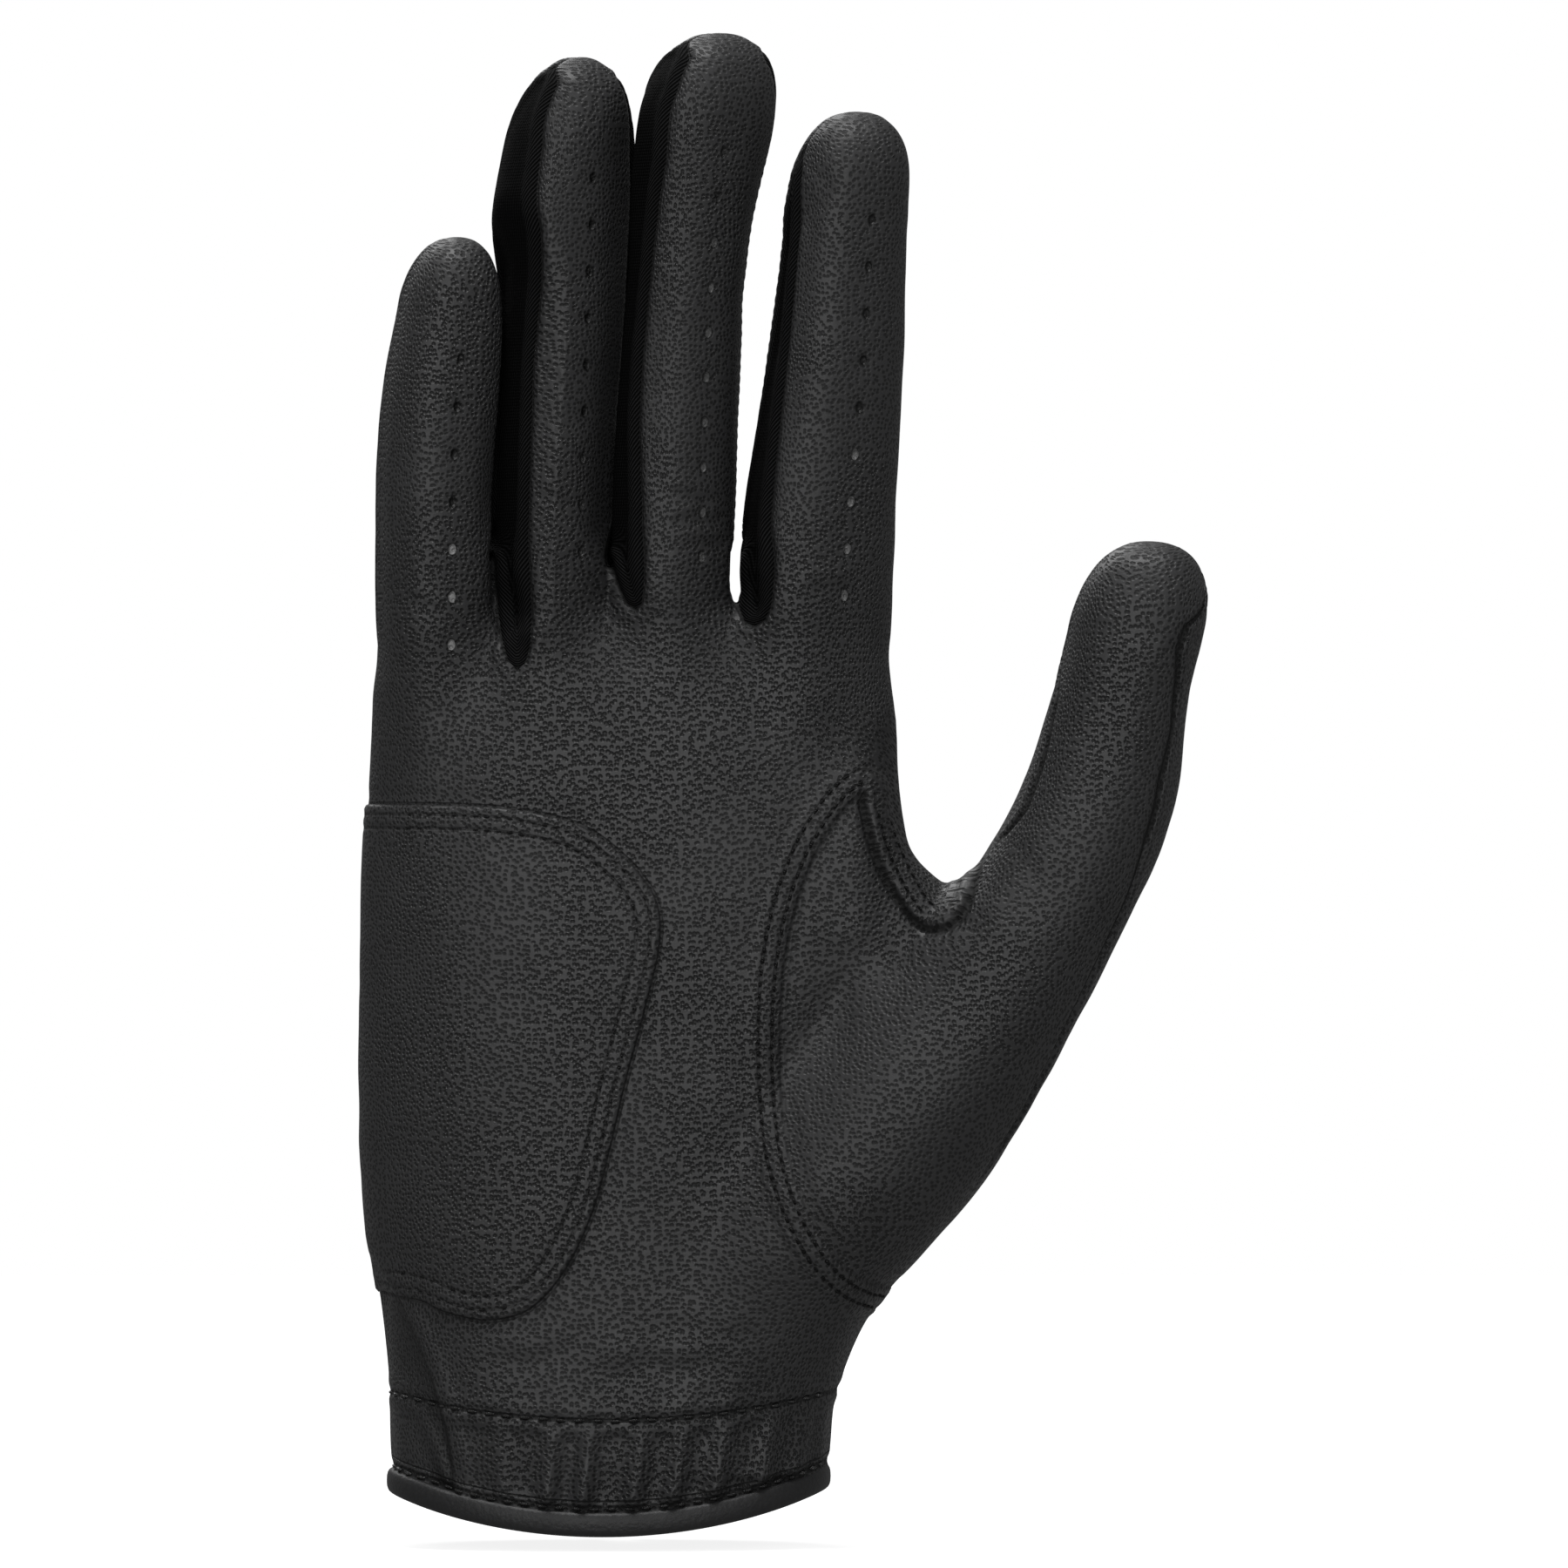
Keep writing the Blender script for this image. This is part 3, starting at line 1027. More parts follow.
def leather_material(name, with_holes=False, lines=True):
    """Pebble-grained leather: dark pits in a paler net, with dark grooves where it is sewn."""
    g = Graph(name, specular=0.5)
    at = g.attribute("rest")
    warp = g.vector("SUBTRACT", g.noise(at, 0.5, 2.0, 1), (0.5, 0.5, 0.5))
    warped = g.vector("ADD", at, g.vector("MULTIPLY", warp, (1.4, 1.4, 1.4)))
    region = g.noise(at, 0.045, 2.0)
    flat = g.vector("ADD", g.attribute("grain"), g.vector("MULTIPLY", warp, (0.4, 0.4, 0.0)))
    flat = g.vector("MULTIPLY", flat, (0.94, 1.06, 1.0))
    cells = g.node(
        "ShaderNodeTexVoronoi", 0, {"feature": "F1", "voronoi_dimensions": "2D"}, Vector=flat, Scale=1.3,
        Randomness=0.85,
    )
    pits = g.ramp(cells, 0.14, 0.5)
    fine = g.noise(warped, 2.4, 2.0, rough=0.6)
    wrinkle = g.noise(g.vector("MULTIPLY", warped, (0.5, 0.8, 1.5)), 1.1, 2.0)
    depth = g.plus(0.55, g.ramp(region, 0.35, 0.65))
    height = g.times(g.times(pits, depth), 0.15)
    height = g.plus(height, g.times(fine, 0.04))
    height = g.plus(height, g.times(wrinkle, 0.04))
    tone = g.plus(g.times(pits, 0.85), g.times(fine, 0.3), clamp=True)
    color = g.mix(tone, (0.0006, 0.0006, 0.0006), (0.036, 0.036, 0.037))
    broad = g.noise(at, 0.09, 3.0)
    color = g.mix(g.times(g.ramp(broad, 0.35, 0.7), 0.22), color, (0.012, 0.012, 0.0125))
    rough = g.minus(0.6, g.times(pits, 0.18))
    rough = g.plus(rough, g.times(broad, 0.08))
    if lines:
        palm_edge, patch_line, edge = g.parts(g.attribute("lines"))
        hem, row, web_side = g.parts(g.attribute("cuff"))
        on_web = g.ramp(web_side, -0.2, 0.2)
        on_palm = g.minus(1.0, on_web)
        groove = 0.0
        for value, places, width, strength in (
            (palm_edge, (1.25, 3.3), 0.3, g.times(on_palm, 0.35)),
            (palm_edge, (1.4, 3.1), 0.3, g.times(on_web, 0.35)),
            (palm_edge, (-0.1,), 0.4, g.times(on_palm, 0.3)),
            (palm_edge, (-0.25,), 0.6, on_web),
            (patch_line, (-1.5, -3.55), 0.3, 0.35), (patch_line, (0.12,), 0.3, 0.6),
            (edge, (0.0,), 0.35, 1.0), (row, (0.0,), 0.42, 0.8), (hem, (5.15,), 0.16, 1.0),
            (hem, (4.0,), 0.62, 1.0),
        ):
            for place in places:
                off = g.math("ABSOLUTE", g.minus(value, place))
                here = g.fade(off, 0.35 * width, 1.25 * width)
                groove = g.math("MAXIMUM", groove, g.times(here, strength))
        x, y, z = g.parts(at)
        fold = g.plus(g.plus(x, 22.6), g.times(z, g.plus(g.times(z, 0.008), 0.02)))
        shade = g.times(g.ramp(fold, -6.5, -0.2), g.fade(fold, -0.3, 0.2))
        shade = g.times(shade, g.fade(z, 26.0, 44.0))
        shade = g.times(shade, g.fade(y, 0.0, 4.0))
        color = g.mix(g.times(shade, 0.55), color, (0.002, 0.002, 0.002))
        color = g.mix(g.times(groove, 0.9), color, (0.0008, 0.0008, 0.0008))
        height = g.minus(height, g.times(groove, 0.22))
        rough = g.plus(rough, g.times(groove, 0.25))
    if with_holes:
        a, b, fill = g.parts(g.attribute("holes"))
        off = g.minus(g.math("FRACT", g.plus(b, 0.5)), 0.5)
        off = g.times(off, 6.9)
        jag = g.times(g.minus(g.noise(at, 1.7, 1.0), 0.5), 0.2)
        across = g.math("POWER", g.math("ABSOLUTE", g.times(a, 1.15)), 2.0)
        along = g.math("POWER", g.math("ABSOLUTE", g.times(off, 0.86)), 2.0)
        r = g.plus(g.math("SQRT", g.plus(across, along)), jag)
        hole = g.fade(r, 0.62, 0.72)
        rim = g.fade(r, 0.76, 0.98)
        color = g.mix(g.times(rim, 0.8), color, (0.001, 0.001, 0.001))
        color = g.mix(hole, color, g.mix(fill, (0.0003, 0.0003, 0.0003), (0.3, 0.3, 0.3)))
        height = g.minus(height, g.times(g.fade(r, 0.35, 0.75), 0.3))
    return g.finish(color, rough, height)


def knit_material():
    """Fourchette knit: fine ribs along the finger, and a band of slanting ribs along each sewn edge."""
    g = Graph("fourchette_knit", rough=0.85, specular=0.08)
    u, z, edge = g.parts(g.attribute("weave"))
    ribs = g.math("SINE", g.times(g.plus(u, g.times(z, 0.12)), 2 * math.pi / 0.5))
    purl = g.math("SINE", g.times(z, 2 * math.pi / 0.45))
    cloth = g.plus(ribs, g.times(purl, 0.35))
    slant = g.plus(z, g.times(edge, 1.7))
    twill = g.math("SINE", g.times(slant, 2 * math.pi / 0.75))
    band = g.fade(edge, 1.9, 2.4)
    n = g.tree.nodes.new("ShaderNodeMix")
    g.put(n, 0, band)
    g.put(n, 2, cloth)
    g.put(n, 3, twill)
    pattern = n.outputs[0]
    fuzz = g.noise(g.attribute("rest"), 3.0, 3.0)
    height = g.plus(g.times(pattern, 0.075), g.times(fuzz, 0.05))
    crest = g.math("POWER", g.plus(g.times(pattern, 0.5), 0.5, clamp=True), 2.0)
    light = g.times(crest, g.plus(0.28, g.times(band, 0.72)), clamp=True)
    color = g.mix(light, (0.0002, 0.0002, 0.0002), (0.021, 0.021, 0.0215))
    return g.finish(color, None, height)


def tape_material():
    """Smooth synthetic leather of the bindings."""
    g = Graph("binding_tape", rough=0.5, specular=0.5)
    at = g.attribute("rest")
    fine = g.noise(at, 1.6, 4.0)
    broad = g.noise(at, 0.12, 2.0)
    color = g.mix(fine, (0.009, 0.009, 0.0095), (0.026, 0.026, 0.027))
    rough = g.plus(0.42, g.times(broad, 0.18))
    return g.finish(color, rough, g.times(fine, 0.12))


def thread_material(name, rough, specular, low, high):
    """Twisted thread: the strands' crests catch the light."""
    g = Graph(name, rough=rough, specular=specular)
    x, y, _ = g.parts(g.attribute("rest"))
    twist = g.math("SINE", g.times(g.plus(g.times(x, 1.9), y), 2 * math.pi))
    crest = g.plus(g.times(twist, 0.5), 0.5)
    color = g.mix(crest, low, high)
    return g.finish(color, None, g.times(twist, 0.06))


def cloth_material(name, pitch, low, high, depth=0.06):
    """Close woven or looped tape."""
    g = Graph(name, rough=0.9, specular=0.2)
    x, _, z = g.parts(g.attribute("rest"))
    warp = g.math("SINE", g.times(x, 2 * math.pi / pitch))
    weft = g.math("SINE", g.times(z, 2 * math.pi / pitch))
    both = g.times(warp, weft)
    fuzz = g.noise(g.attribute("rest"), 2.5, 3.0)
    color = g.mix(g.plus(g.times(both, 0.3), fuzz, clamp=True), low, high)
    return g.finish(color, None, g.plus(g.times(both, depth), g.times(fuzz, depth)))


LEATHER = leather_material("leather")
PERFORATED = leather_material("leather_perforated", with_holes=True)
PLAIN_LEATHER = leather_material("leather_trim", lines=False)
KNIT = knit_material()
TAPE = tape_material()
THREAD = thread_material("thread", 0.6, 0.3, (0.001, 0.001, 0.001), (0.006, 0.006, 0.0062))
SHINY_THREAD = thread_material("thread_glossy", 0.3, 1.0, (0.001, 0.001, 0.001), (0.03, 0.03, 0.03))
ELASTIC = cloth_material("woven_elastic", 0.9, (0.006, 0.006, 0.0065), (0.02, 0.02, 0.021))
LOOPS = cloth_material("loop_tape", 0.6, (0.005, 0.005, 0.0052), (0.022, 0.022, 0.023), 0.12)
HOOKS = cloth_material("hook_tape", 0.8, (0.004, 0.004, 0.0042), (0.02, 0.02, 0.02), 0.15)
LINING = cloth_material("suede_inside", 0.7, (0.01, 0.01, 0.0105), (0.03, 0.03, 0.031), 0.02)

for name in sorted(set(piece_of)):
    obj = skin_piece(name, tris[piece_of == name])
    knit = "fourchette" in name or "knit" in name
    obj.data.materials.append(
        KNIT if knit else PERFORATED if "front" in name or name == "palm_leather" else LEATHER
    )
    parts = name.split("_")
    if name == "crotch_knit":
        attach(obj, "hand")
        continue
    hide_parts(name)
    if parts[0] in FINGER_ORDER:
        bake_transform(obj)
    elif name.startswith("thumb_base"):
        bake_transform(obj)
    elif name.startswith("thumb_tip"):
        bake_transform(obj)
    else:
        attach(obj, "hand")

# ---------------------------------------------------------------------------
# Heel patch, stitching, bindings, inside, and the closure
# ---------------------------------------------------------------------------
def finish_piece(obj, material, node, body="hand"):
    """Gives a piece its material, the body it rides on and the CAD node it stands for."""
    obj.data.materials.append(material)
    if body:
        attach(obj, body)
    if node:
        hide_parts(node)
    return obj


def surface_points(xz, side=-1):
    """The surface in front of (side -1) or behind (1) points given as x and z.

    Gives the point on it with its relief, its direction, and the point without relief.
    """
    xz = np.asarray(xz, float)
    y = np.full(len(xz), np.nan)
    ladder = side * np.arange(30.0, -10.0, -0.4)
    previous = skin_distance(xz[:, 0], np.full(len(xz), ladder[0]), xz[:, 1])
    for a, b in zip(ladder[:-1], ladder[1:]):
        now = skin_distance(xz[:, 0], np.full(len(xz), b), xz[:, 1])
        hit = np.isnan(y) & (previous > 0) & (now <= 0)
        y[hit] = a + (b - a) * previous[hit] / (previous[hit] - now[hit])
        previous = now
    ok = ~np.isnan(y)
    p = np.stack([xz[ok, 0], y[ok], xz[ok, 1]], 1)
    n = skin_normal(p)
    return p + n * relief(*p.T)[:, None], n, p


RINGS, SIDES = 7, 6  # of one stitch's mesh


def stitch_run(a, b, n, radius, sink):
    """One visible run of thread from a to b, its ends dipping into the leather."""
    way = b - a
    length = np.linalg.norm(way)
    way = way / length
    side = np.cross(n, way)
    points = []
    for i in range(RINGS):
        t = i / (RINGS - 1)
        middle = a + (b - a) * t + n * (radius * 0.55 - sink * (2 * t - 1) ** 4)
        r = radius * (1 - 0.75 * abs(2 * t - 1) ** 5)
        for k in range(SIDES):
            angle = 2 * math.pi * (k / SIDES + 0.5 * t)
            points.append(middle + side * math.cos(angle) * r + n * math.sin(angle) * r)
    faces = []
    for i in range(RINGS - 1):
        for k in range(SIDES):
            a0, a1 = i * SIDES + k, i * SIDES + (k + 1) % SIDES
            faces.append((a0, a1, a1 + SIDES, a0 + SIDES))
    return np.array(points), np.array(faces)


def stitch_row(
    lines, name, node, pitch=1.72, run=1.2, radius=0.2, lift=0.0, jitter=0.07, body="hand", material=None
):
    """Rows of thread along lines given as x and z in the front view, or as points with their directions."""
    rng = np.random.default_rng(len(name) + 11)
    all_points, all_faces, rest, total = [], [], [], 0
    for line in lines:
        surface, direction_here = line if isinstance(line, tuple) else surface_points(line)[:2]
        steps = np.linalg.norm(np.diff(surface, axis=0), axis=1)
        at = np.concatenate([[0], np.cumsum(steps)])
        count = int(at[-1] / pitch)
        for i in range(count):
            low = i * pitch + rng.uniform(-jitter, jitter)
            ends = []
            for d in (low, low + run):
                ends.append(np.array([np.interp(d, at, surface[:, k]) for k in range(3)]))
            broken = steps.max() > 6 and np.interp(low, at[1:], steps) > 3
            if broken or np.linalg.norm(ends[1] - ends[0]) > 1.6 * run:
                continue
            n = np.array([np.interp(low + run / 2, at, direction_here[:, k]) for k in range(3)])
            n /= np.linalg.norm(n)
            side = np.cross(n, ends[1] - ends[0])
            side /= np.linalg.norm(side)
            ends[0] = ends[0] + side * rng.uniform(-jitter, jitter) + n * lift
            ends[1] = ends[1] + side * rng.uniform(-jitter, jitter) + n * lift
            p, f = stitch_run(ends[0], ends[1], n, radius * rng.uniform(0.9, 1.12), radius * 1.1)
            all_points.append(p)
            all_faces.append(f + total)
            t = np.repeat(np.arange(RINGS) / (RINGS - 1) * run, SIDES)
            turn = np.tile(np.arange(SIDES) / SIDES, RINGS)
            rest.append(np.stack([t * 1.6, turn, np.full(len(t), float(i))], 1))
            total += len(p)
    obj = new_object(name, np.concatenate(all_points), np.concatenate(all_faces))
    vector_attribute(obj, "rest", np.concatenate(rest))
    return finish_piece(obj, material or THREAD, node, body)


def offset_line(line, by):
    """An open line moved sideways, to its left as it runs."""
    d = unit(np.gradient(line, axis=0))
    return line + np.stack([-d[:, 1], d[:, 0]], 1) * by


def heel_patch():
    """The second layer of leather sewn over the heel of the palm."""
    s = outline_distance(centre[:, 0], centre[:, 2], PATCH_LINE)
    _, u, _ = seam_fields(*centre.T)
    used, faces = compact(tris[(s < 0) & (u < -0.3) & (centre[:, 2] < 112)])
    rest = verts[used]
    inside = np.maximum(-outline_distance(rest[:, 0], rest[:, 2], PATCH_LINE), 0)
    t = np.minimum(inside / 0.8, 1)
    lift = 0.04 + 0.5 * np.sqrt(1 - (1 - t) ** 2)
    obj = new_object("heel_patch_leather", final[used] + direction[used] * lift[:, None], faces)
    vector_attribute(obj, "rest", rest + (31.7, 12.3, 7.9))
    vector_attribute(obj, "grain", grain_coordinates("palm", rest) + (131.7, 57.9, 0))
    far = np.full(len(rest), CLEAR)
    vector_attribute(obj, "lines", np.stack([far, -inside, far], 1))
    vector_attribute(obj, "cuff", np.stack([far, far, far], 1))
    finish_piece(obj, LEATHER, "heel_patch")


heel_patch()
patch_open = PATCH_LINE[(PATCH_LINE[:, 0] > -39)]
stitch_row(
    [offset_line(patch_open, -1.5), offset_line(patch_open, -3.55)], "patch_stitching",
    "heel_patch_stitching", lift=0.36,
)
seam_open = curve_through(THUMB_SEAM[:-1])
web_open = WEB_LINE[32:]
thumb_rows = [
    np.concatenate([[(37.5, 108.3)], offset_line(seam_open, -1.25)[3:]]),
    np.concatenate([[(38.0, 111.2)], offset_line(seam_open, -3.3)[3:]]),
    offset_line(web_open, -1.4)[8:-4],
    np.concatenate([offset_line(web_open, -3.1)[2:-16], [(38.6, 110.6)]]),
]
stitch_row(thumb_rows, "thumb_seam_stitching", "thumb_stitching")
xs = np.linspace(-33.0, 33.2, 300)
stitch_row(
    [np.stack([xs, cuff_line(xs)], 1)], "cuff_row_stitching", "cuff_stitching", pitch=2.7, run=1.5,
    radius=0.24, lift=0.1, material=SHINY_THREAD,
)
stitch_row(
    [np.stack([xs, hem_line(xs) + BINDING + 0.5], 1)], "hem_row_stitching", "hem_stitching", pitch=2.6,
    run=1.5, radius=0.26, lift=0.2, material=SHINY_THREAD,
)


def signed_power(v, power):
    return math.copysign(abs(v) ** power, v)


def rim_point(angle, height):
    """A point on the plain form at an angle round the wrist and a height above the hem's edge."""
    x = 32.0 * math.cos(angle)
    for _ in range(6):
        z = hem_line(x) + height
        cx, w, cy, d, _ = (float(np.interp(z, Z_TABLE, column)) for column in PROFILES["palm"])
        power = TUBES["palm"][1]
        c, s = math.cos(angle), math.sin(angle)
        x = cx + w * signed_power(c, 2 / power)
        y = cy + d * signed_power(s, 2 / power)
    return np.array([x, y, z])


def sweep(name, path, outward, up, profile_points):
    """A band whose section is given as (outward, upward) distances along a path."""
    path = np.array(path)
    count, ring = len(path), len(profile_points)
    points = np.concatenate(
        [
            path[i] + np.outer(profile_points[:, 0], outward[i]) + np.outer(profile_points[:, 1], up[i])
            for i in range(count)
        ]
    )
    faces = []
    for i in range(count - 1):
        j = i + 1
        for k in range(ring):
            m = (k + 1) % ring
            faces.append((i * ring + k, j * ring + k, j * ring + m, i * ring + m))
    obj = new_object(name, points, faces)
    vector_attribute(obj, "rest", points)
    return obj


def tape_section(count, outer, inner, half, powers):
    """A folded tape's section as (outward, upward) distances, set 0.35 mm into the surface."""
    ring = []
    for t in np.arange(count) / count * 2 * math.pi:
        c, s = math.cos(t), math.sin(t)
        reach = (outer if c > 0 else inner) * signed_power(c, powers[0])
        ring.append((-0.35 + reach, half * signed_power(s, powers[1])))
    return np.array(ring)


def hem_binding():
    """The tape round the wrist's edge, open at the slit on the back."""
    start = math.radians(90) + 0.14
    angles = np.linspace(start, start + 2 * math.pi - 0.28, 320)
    path = np.array([rim_point(a, BINDING / 2) for a in angles])
    along = unit(np.gradient(path, axis=0))
    up = np.tile((0.0, 0.0, 1.0), (len(path), 1))
    up = unit(up - (up * along).sum(1)[:, None] * along)
    outward = np.cross(along, up)
    ring = tape_section(22, 1.15, 1.2, BINDING / 2 + 0.1, (0.8, 0.72))
    finish_piece(sweep("wrist_binding", path, outward, up, ring), TAPE, "hem_binding")


hem_binding()


def lining():
    """The inside of the leather, seen through the opening and the slit."""
    p, t = make_skin(1.5, level=-1.15, high=(96, 26, 150), rounds=2)
    p = p + skin_normal(p) * np.minimum(relief(*p.T) + 0.5, 0)[:, None]
    p, t = cut(p, t, hem_height(*p.T) - 1.0)
    p, t = cut(p, t, np.where(p[:, 1] > 4, slit_distance(p[:, 0], p[:, 2]) - 0.6, FAR))
    p, t = cut(p, t, p[:, 2] - 124.0)
    c = p[t].mean(1)
    keep = (
        (hem_height(*c.T) > 1.0) & ((c[:, 1] < 4) | (slit_distance(c[:, 0], c[:, 2]) > 0.6)) & (c[:, 2] < 124)
    )
    keep &= (c[:, 0] < 50) | (c[:, 2] < 90)
    used, faces = compact(t[keep])
    obj = new_object("inside_lining", p[used], faces[:, ::-1])
    vector_attribute(obj, "rest", p[used])
    finish_piece(obj, LINING, None)


lining()


def elastic():
    """The gathering elastic inside the palm side of the wrist."""
    angles = np.linspace(math.radians(-152), math.radians(-28), 160)
    path = np.array([rim_point(a, 8.0) for a in angles])
    along = unit(np.gradient(path, axis=0))
    up = np.tile((0.0, 0.0, 1.0), (len(path), 1))
    outward = np.cross(along, up)
    ripple = 0.15 * np.sin(np.arange(len(path)) * 0.9)
    path = path - outward * (2.7 + ripple)[:, None]
    ring = np.array(
        [
            (0.32, -4.4), (0.38, -2.2), (0.4, 0.0), (0.38, 2.2), (0.32, 4.4), (0.0, 4.7), (-0.35, 4.4),
            (-0.4, 0.0), (-0.35, -4.4), (0.0, -4.7),
        ]
    )
    finish_piece(sweep("wrist_elastic", path, outward, up, ring), ELASTIC, "cuff_elastic")


elastic()


def slit_ribbon():
    """Folded tape round the edge of the opening on the back."""
    high = SLIT_HALF[1]
    left = np.array(
        [(-SLIT_HALF[0] - 0.2, -2.6), (-SLIT_HALF[0], 0.0), (-2.6, 23.0), (-high - 0.1, SLIT_TOP - 1.5)]
    )
    top = [(-high * 0.8, SLIT_TOP - 0.2), (0.0, SLIT_TOP + 0.4), (high * 0.8, SLIT_TOP - 0.2)]
    right = left[::-1] * (-1, 1)
    line = curve_through([*left, *top, *right], per=24)
    surface, outward, _ = surface_points(line, 1)
    side = unit(np.cross(unit(np.gradient(surface, axis=0)), outward))
    ring = tape_section(16, 0.95, 0.95, 1.7, (0.85, 0.7))
    finish_piece(sweep("slit_tape", surface, outward, side, ring), TAPE, "slit_binding")


slit_ribbon()


def rounded_rectangle(x, z, box, corners):
    """Signed distance to a rectangle whose left and right ends have their own corner radii."""
    x0, x1, z0, z1 = box
    cx, cz = (x0 + x1) / 2, (z0 + z1) / 2
    r = np.where(x < cx, corners[0], corners[1])
    qx = np.abs(x - cx) - (x1 - x0) / 2 + r
    qz = np.abs(z - cz) - (z1 - z0) / 2 + r
    return np.minimum(np.maximum(qx, qz), 0) + np.hypot(np.maximum(qx, 0), np.maximum(qz, 0)) - r


def back_sheet(name, box, corners, low, thick, edge, step=0.5, puff=0.0):
    """A flat-sewn piece on the back of the wrist, low above it, thick through and rounded over at its rim."""
    x0, x1, z0, z1 = box
    gx, gz = np.meshgrid(
        np.arange(x0 - 0.3, x1 + 0.6, step), np.arange(z0 - 0.3, z1 + 0.6, step), indexing="ij"
    )
    n, m = gx.shape
    p = np.stack([gx.ravel(), np.zeros(n * m), gz.ravel()], 1)
    i = (np.arange(n - 1)[:, None] * m + np.arange(m - 1)).ravel()
    t = np.concatenate([np.stack([i, i + 1, i + m + 1], 1), np.stack([i, i + m + 1, i + m], 1)])
    s = rounded_rectangle(p[:, 0], p[:, 2], box, corners)
    p, t = cut(p, t, s, 0.02)
    c = p[t].mean(1)
    used, t = compact(t[rounded_rectangle(c[:, 0], c[:, 2], box, corners) < 0])
    p = p[used]
    inside = np.maximum(-rounded_rectangle(p[:, 0], p[:, 2], box, corners), 0)
    base = surface_points(np.stack([gx[:, 0], np.full(n, (z0 + z1) / 2)], 1), 1)[2]
    curve_low, curve_high = (
        surface_points(np.stack([base[:, 0], np.full(len(base), z)], 1), 1)[2][:, 1] for z in (z0, z1)
    )

    def wrist_y(x, z):
        """How far back the wrist is, between its lines at the piece's lower and upper edges."""
        share = (z - z0) / (z1 - z0)
        low_y, high_y = (np.interp(x, base[:, 0], curve) for curve in (curve_low, curve_high))
        return low_y * (1 - share) + high_y * share

    y = wrist_y(p[:, 0], p[:, 2])
    q = np.minimum(inside / edge, 1)
    dome = np.sqrt(1 - (1 - q) ** 2)
    row = 0.14 * np.exp(-(((inside - 2.2) / 0.5) ** 2)) if puff else 0.0
    top = y + low + thick * (0.5 + 0.5 * dome) + puff * smooth((inside - 2.2) / 4.0) - row
    bottom = y + low + thick * (0.5 - 0.5 * dome)
    points = np.concatenate([np.stack([p[:, 0], top, p[:, 2]], 1), np.stack([p[:, 0], bottom, p[:, 2]], 1)])
    obj = new_object(name, points, np.concatenate([t[:, ::-1], t + len(p)]))
    vector_attribute(obj, "rest", points + (0, 40.0, 0))
    vector_attribute(obj, "grain", points[:, [0, 2, 1]] * (1, 1, 0) + (0, 800.0, 0))

    def on_top(xz):
        y = wrist_y(xz[:, 0], xz[:, 1])
        surface = np.stack([xz[:, 0], y + low + thick, xz[:, 1]], 1)
        slope = np.gradient(np.interp(np.arange(-30.0, 30.0, 0.5), base[:, 0], curve_low), 0.5)
        lean = np.interp(xz[:, 0], np.arange(-30.0, 30.0, 0.5), slope)
        return surface, unit(np.stack([-lean, np.ones(len(xz)), np.zeros(len(xz))], 1))

    return obj, on_top


def box_line(box, radius, by, count=160):
    """A closed line just inside a rounded rectangle."""
    x0, x1, z0, z1 = box[0] + by, box[1] - by, box[2] + by, box[3] - by
    line = []
    for cx, cz, start, r in (
        (x0, z1, 90, radius[0]), (x0, z0, 180, radius[0]), (x1, z0, 270, radius[1]), (x1, z1, 0, radius[1]),
    ):
        mx, mz = (cx + r if cx == x0 else cx - r), (cz + r if cz == z0 else cz - r)
        for a in np.radians(np.linspace(start, start + 90, 12)):
            line.append((mx + r * math.cos(a), mz + r * math.sin(a)))
    line.append(line[0])
    line = np.array(line)
    at = np.concatenate([[0], np.cumsum(np.linalg.norm(np.diff(line, axis=0), axis=1))])
    even = np.linspace(0, at[-1], count)
    return np.stack([np.interp(even, at, line[:, k]) for k in range(2)], 1)


def closure():
    """The tab, its anchor and the hook and loop pads on the back of the wrist."""
    tab_box = (-21.0, 14.5, 7.0, 33.0)
    tab, on_tab = back_sheet("tab_leather", tab_box, (9.0, 0.6), 2.05, 1.25, 0.8, puff=0.35)
    finish_piece(tab, PLAIN_LEATHER, "closure_tab", None)
    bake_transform(tab)
    inner = box_line((-21.0, 30.0, 7.0, 33.0), (9.0, 0.6), 2.2, 500)
    inner = inner[(inner[:, 0] < 12.5)]
    inner = np.roll(inner, -int(np.argmax(np.linalg.norm(np.diff(inner, axis=0), axis=1))) - 1, axis=0)
    rows = stitch_row([on_tab(inner)], "tab_stitching", None, pitch=2.4, run=1.6, radius=0.2, body=None)
    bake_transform(rows)
    anchor_box = (13.0, 20.0, 7.0, 33.0)
    anchor, on_anchor = back_sheet("tab_anchor_leather", anchor_box, (0.5, 1.5), 0.25, 3.15, 0.9)
    finish_piece(anchor, PLAIN_LEATHER, "tab_anchor")
    lines = [on_anchor(np.stack([np.full(120, x), np.linspace(8.6, 31.4, 120)], 1)) for x in (15.2, 18.2)]
    stitch_row(lines, "anchor_stitching", None, pitch=2.2, run=1.5, radius=0.2)
    hooks, _ = back_sheet("hook_tape_pad", (-14.9, -6.9, 10.1, 29.9), (1.4, 1.4), 1.3, 0.75, 0.25)
    finish_piece(hooks, HOOKS, "hook_pad", "closure_flap")
    loops, _ = back_sheet("loop_tape_pad", (-15.5, -6.3, 9.5, 30.5), (2.0, 2.0), 0.35, 0.9, 0.35)
    finish_piece(loops, LOOPS, "loop_pad")


closure()

for n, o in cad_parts.items():
    if not o.hide_render:
        o.data.materials.clear()
        o.data.materials.append(LEATHER)

# ---------------------------------------------------------------------------
# Floor, light and camera
# ---------------------------------------------------------------------------
CENTRE = Vector((0.0259, 0.0, 0.1079))
CAMERA_DISTANCE = 2.2
FRAME_WIDTH = 0.234  # how much the camera sees across, at the glove


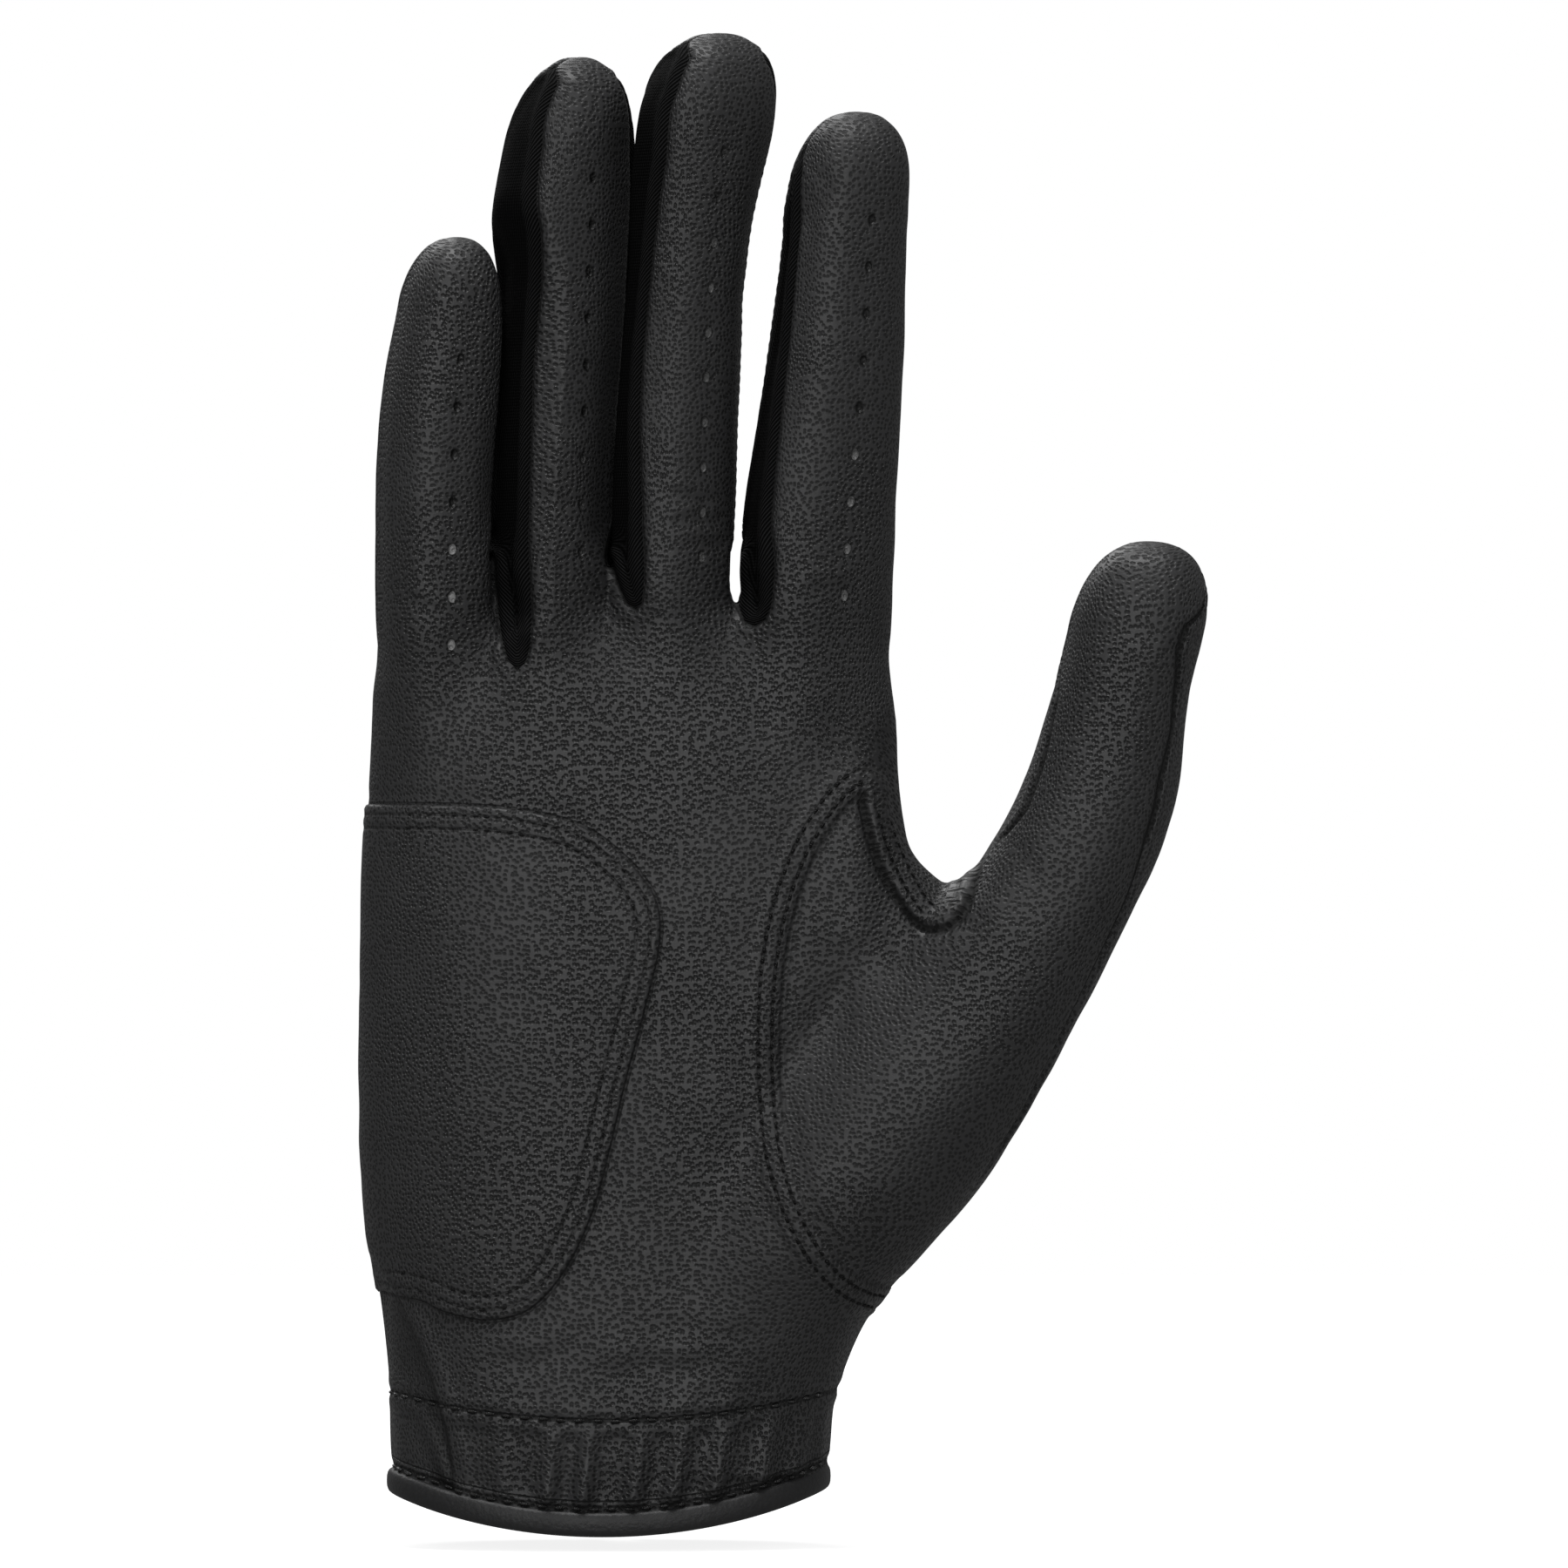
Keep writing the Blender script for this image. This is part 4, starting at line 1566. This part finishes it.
def studio():
    """A white floor and world, three lamps, and the camera in front of the palm."""
    g = Graph("backdrop", rough=0.95, specular=0.0)
    paper = g.node("ShaderNodeTexNoise", 0, None, Scale=40.0, Detail=2.0)
    g.finish(g.mix(paper, (0.50, 0.50, 0.50), (0.52, 0.52, 0.52)))
    g.shader.inputs["Emission Color"].default_value = (1, 1, 1, 1)
    g.shader.inputs["Emission Strength"].default_value = 0.86
    bpy.ops.mesh.primitive_plane_add(size=2.4, location=(0, 0, CAD_BOX[0].z - 0.0015))
    floor = bpy.context.object
    floor.name = "floor"
    floor.data.materials.append(g.material)
    floor.visible_diffuse = False
    floor.visible_glossy = False
    bpy.context.scene.view_settings.view_transform = "Standard"
    world = bpy.data.worlds.new("studio")
    bpy.context.scene.world = world
    world.use_nodes = True
    tree = world.node_tree
    tree.nodes["Background"].inputs["Color"].default_value = (1, 1, 1, 1)
    ray = tree.nodes.new("ShaderNodeLightPath")
    strength = tree.nodes.new("ShaderNodeMapRange")
    strength.inputs["To Min"].default_value = 0.2
    strength.inputs["To Max"].default_value = 1.0
    tree.links.new(ray.outputs["Is Camera Ray"], strength.inputs["Value"])
    tree.links.new(strength.outputs[0], tree.nodes["Background"].inputs["Strength"])

    def lamp(name, place, size, energy):
        data = bpy.data.lights.new(name, "AREA")
        data.shape = "RECTANGLE"
        data.size, data.size_y = size
        data.energy = energy
        obj = bpy.data.objects.new(name, data)
        obj.location = place
        obj.rotation_euler = (CENTRE - Vector(place)).to_track_quat("-Z", "Y").to_euler()
        bpy.context.scene.collection.objects.link(obj)

    lamp("front_light", (-0.1, -1.9, 0.5), (1.4, 1.2), 10.5)
    lamp("top_light", (-0.05, -0.15, 1.2), (0.5, 0.35), 7.0)
    lamp("back_light", (-0.5, 1.2, 1.3), (0.9, 0.9), 9.0)
    camera = bpy.data.cameras.new("camera")
    camera.sensor_width = 36.0
    camera.lens = camera.sensor_width * CAMERA_DISTANCE / FRAME_WIDTH
    obj = bpy.data.objects.new("camera", camera)
    obj.location = (CENTRE.x, -CAMERA_DISTANCE, CENTRE.z)
    obj.rotation_euler = (math.pi / 2, 0, 0)
    bpy.context.scene.collection.objects.link(obj)
    bpy.context.scene.camera = obj


studio()
